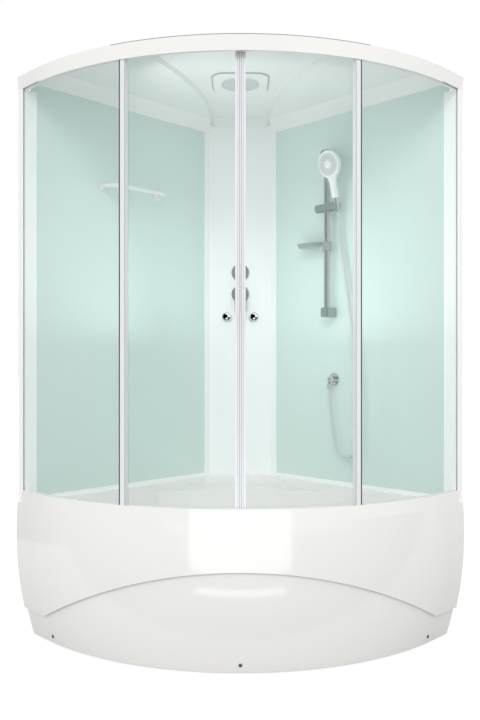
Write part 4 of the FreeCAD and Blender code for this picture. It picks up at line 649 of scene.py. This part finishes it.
# Studio
AMBIENT_COLOR = (0.985, 0.99, 1.0, 1.0)
AMBIENT_STRENGTH = 0.94
PURE_WHITE = (1.0, 1.0, 1.0, 1.0)
FLOOR_GREY = (0.48, 0.48, 0.48, 1.0)
FLOOR_LIFT = 0.60
FLOOR_Z = -0.0005
FLOOR_REACH = 40.0
KEY_FROM = (0.87, -0.13, 0.50)      # the key light's side, seen from the room corner
CARD_GLOW = 2.2
FLAG_OUT = 4.4                      # dark cards reach this far from the room corner
FLAG_SIDE = 6.0
FLAG_TOP = 6.0


def background(tree, color, strength):
    node = tree.nodes.new("ShaderNodeBackground")
    node.inputs["Color"].default_value = color
    node.inputs["Strength"].default_value = strength
    return node.outputs[0]


def larger(tree, first, second):
    """The larger of two outputs."""
    node = tree.nodes.new("ShaderNodeMath")
    node.operation = "MAXIMUM"
    tree.links.new(first, node.inputs[0])
    tree.links.new(second, node.inputs[1])
    return node.outputs[0]


def make_world():
    """White where the camera, a reflection or the glass shows it, and a soft light elsewhere."""
    world = bpy.data.worlds.new("studio")
    bpy.context.scene.world = world
    world.use_nodes = True
    tree = world.node_tree
    tree.nodes.clear()
    path = tree.nodes.new("ShaderNodeLightPath")
    seen = larger(tree, path.outputs["Is Camera Ray"], path.outputs["Is Glossy Ray"])
    shown = larger(tree, seen, path.outputs["Is Transmission Ray"])
    mix = tree.nodes.new("ShaderNodeMixShader")
    tree.links.new(shown, mix.inputs["Fac"])
    tree.links.new(background(tree, AMBIENT_COLOR, AMBIENT_STRENGTH), mix.inputs[1])
    tree.links.new(background(tree, PURE_WHITE, 1.0), mix.inputs[2])
    out = tree.nodes.new("ShaderNodeOutputWorld")
    tree.links.new(mix.outputs[0], out.inputs["Surface"])


def make_floor():
    """A white floor that keeps the soft shadow under the cabin."""
    bm = bmesh.new()
    bm.faces.new([bm.verts.new((i * FLOOR_REACH, j * FLOOR_REACH, FLOOR_Z)) for i, j in SQUARE])
    mat = bpy.data.materials.new("floor")
    mat.use_nodes = True
    nodes = mat.node_tree.nodes
    links = mat.node_tree.links
    nodes.clear()
    path = nodes.new("ShaderNodeLightPath")
    lift = nodes.new("ShaderNodeMath")
    lift.operation = "MULTIPLY"
    lift.inputs[1].default_value = FLOOR_LIFT
    links.new(path.outputs["Is Camera Ray"], lift.inputs[0])
    soft = nodes.new("ShaderNodeBsdfDiffuse")
    soft.inputs["Color"].default_value = FLOOR_GREY
    white = nodes.new("ShaderNodeEmission")
    white.inputs["Color"].default_value = PURE_WHITE
    links.new(lift.outputs[0], white.inputs["Strength"])
    both = nodes.new("ShaderNodeAddShader")
    links.new(soft.outputs[0], both.inputs[0])
    links.new(white.outputs[0], both.inputs[1])
    out = nodes.new("ShaderNodeOutputMaterial")
    links.new(both.outputs[0], out.inputs["Surface"])
    from_bmesh("floor", bm, mat)


def area_light(name, place, target, width, height, power):
    data = bpy.data.lights.new(name, "AREA")
    data.shape = "RECTANGLE"
    data.size = width
    data.size_y = height
    data.energy = power
    lamp = link(bpy.data.objects.new(name, data))
    lamp.location = place
    lamp.rotation_euler = (target - place).to_track_quat("-Z", "Y").to_euler()
    lamp.visible_camera = False
    lamp.visible_glossy = False


def sun_light(name, toward, strength, softness):
    data = bpy.data.lights.new(name, "SUN")
    data.energy = strength
    data.angle = math.radians(softness)
    lamp = link(bpy.data.objects.new(name, data))
    lamp.rotation_euler = toward.to_track_quat("-Z", "Y").to_euler()
    lamp.visible_glossy = False


def reflected_card(name, corners, strength):
    """A card that only shows in reflections."""
    bm = bmesh.new()
    bm.faces.new([bm.verts.new(corner) for corner in corners])
    mat = bpy.data.materials.new(name)
    mat.use_nodes = True
    nodes = mat.node_tree.nodes
    nodes.clear()
    glow = nodes.new("ShaderNodeEmission")
    glow.inputs["Color"].default_value = PURE_WHITE
    glow.inputs["Strength"].default_value = strength
    out = nodes.new("ShaderNodeOutputMaterial")
    mat.node_tree.links.new(glow.outputs[0], out.inputs["Surface"])
    card = from_bmesh(name, bm, mat)
    card.visible_camera = False
    card.visible_diffuse = False
    card.visible_transmission = False
    card.visible_volume_scatter = False
    card.visible_shadow = False


def rectangle(first, second):
    """The four corners of two spans, in order round the edge."""
    return ((first[0], second[0]), (first[1], second[0]), (first[1], second[1]), (first[0], second[1]))


def upright_card(name, v, u_span, z_span, strength):
    reflected_card(name, [diagonal_point(v, u, z) for u, z in rectangle(u_span, z_span)], strength)


def side_card(name, u, v_span, z_span, strength):
    reflected_card(name, [diagonal_point(v, u, z) for v, z in rectangle(v_span, z_span)], strength)


def floor_card(name, v_span, u_span, z, strength):
    reflected_card(name, [diagonal_point(v, u, z) for u, v in rectangle(u_span, v_span)], strength)


make_world()
make_floor()
sun_light("key", toward=CORNER - diagonal_point(*KEY_FROM), strength=1.30, softness=30.0)
area_light("inside", place=diagonal_point(0.90, -0.12, 1.50), target=diagonal_point(0.60, 0.36, 1.68),
           width=0.4, height=1.2, power=1.5)
area_light("inside_up", place=diagonal_point(0.84, 0.0, 1.12), target=diagonal_point(0.82, 0.0, 2.0),
           width=0.9, height=0.4, power=2.0)
upright_card("apron_card", v=2.13, u_span=(-0.52, 0.52), z_span=(0.05, 0.56), strength=CARD_GLOW)
floor_card("lens_card", v_span=(1.70, 1.80), u_span=(-0.34, 0.34), z=0.012, strength=CARD_GLOW)
floor_card("floor_flag", v_span=(1.32, FLAG_OUT), u_span=(-FLAG_SIDE, FLAG_SIDE), z=0.003, strength=0.0)
upright_card("front_flag", v=FLAG_OUT, u_span=(-FLAG_SIDE, 1.2), z_span=(0.30, FLAG_TOP), strength=0.0)
side_card("left_flag", u=-2.2, v_span=(-3.0, FLAG_OUT), z_span=(0.02, FLAG_TOP), strength=0.0)

bpy.context.scene.view_settings.view_transform = "Standard"
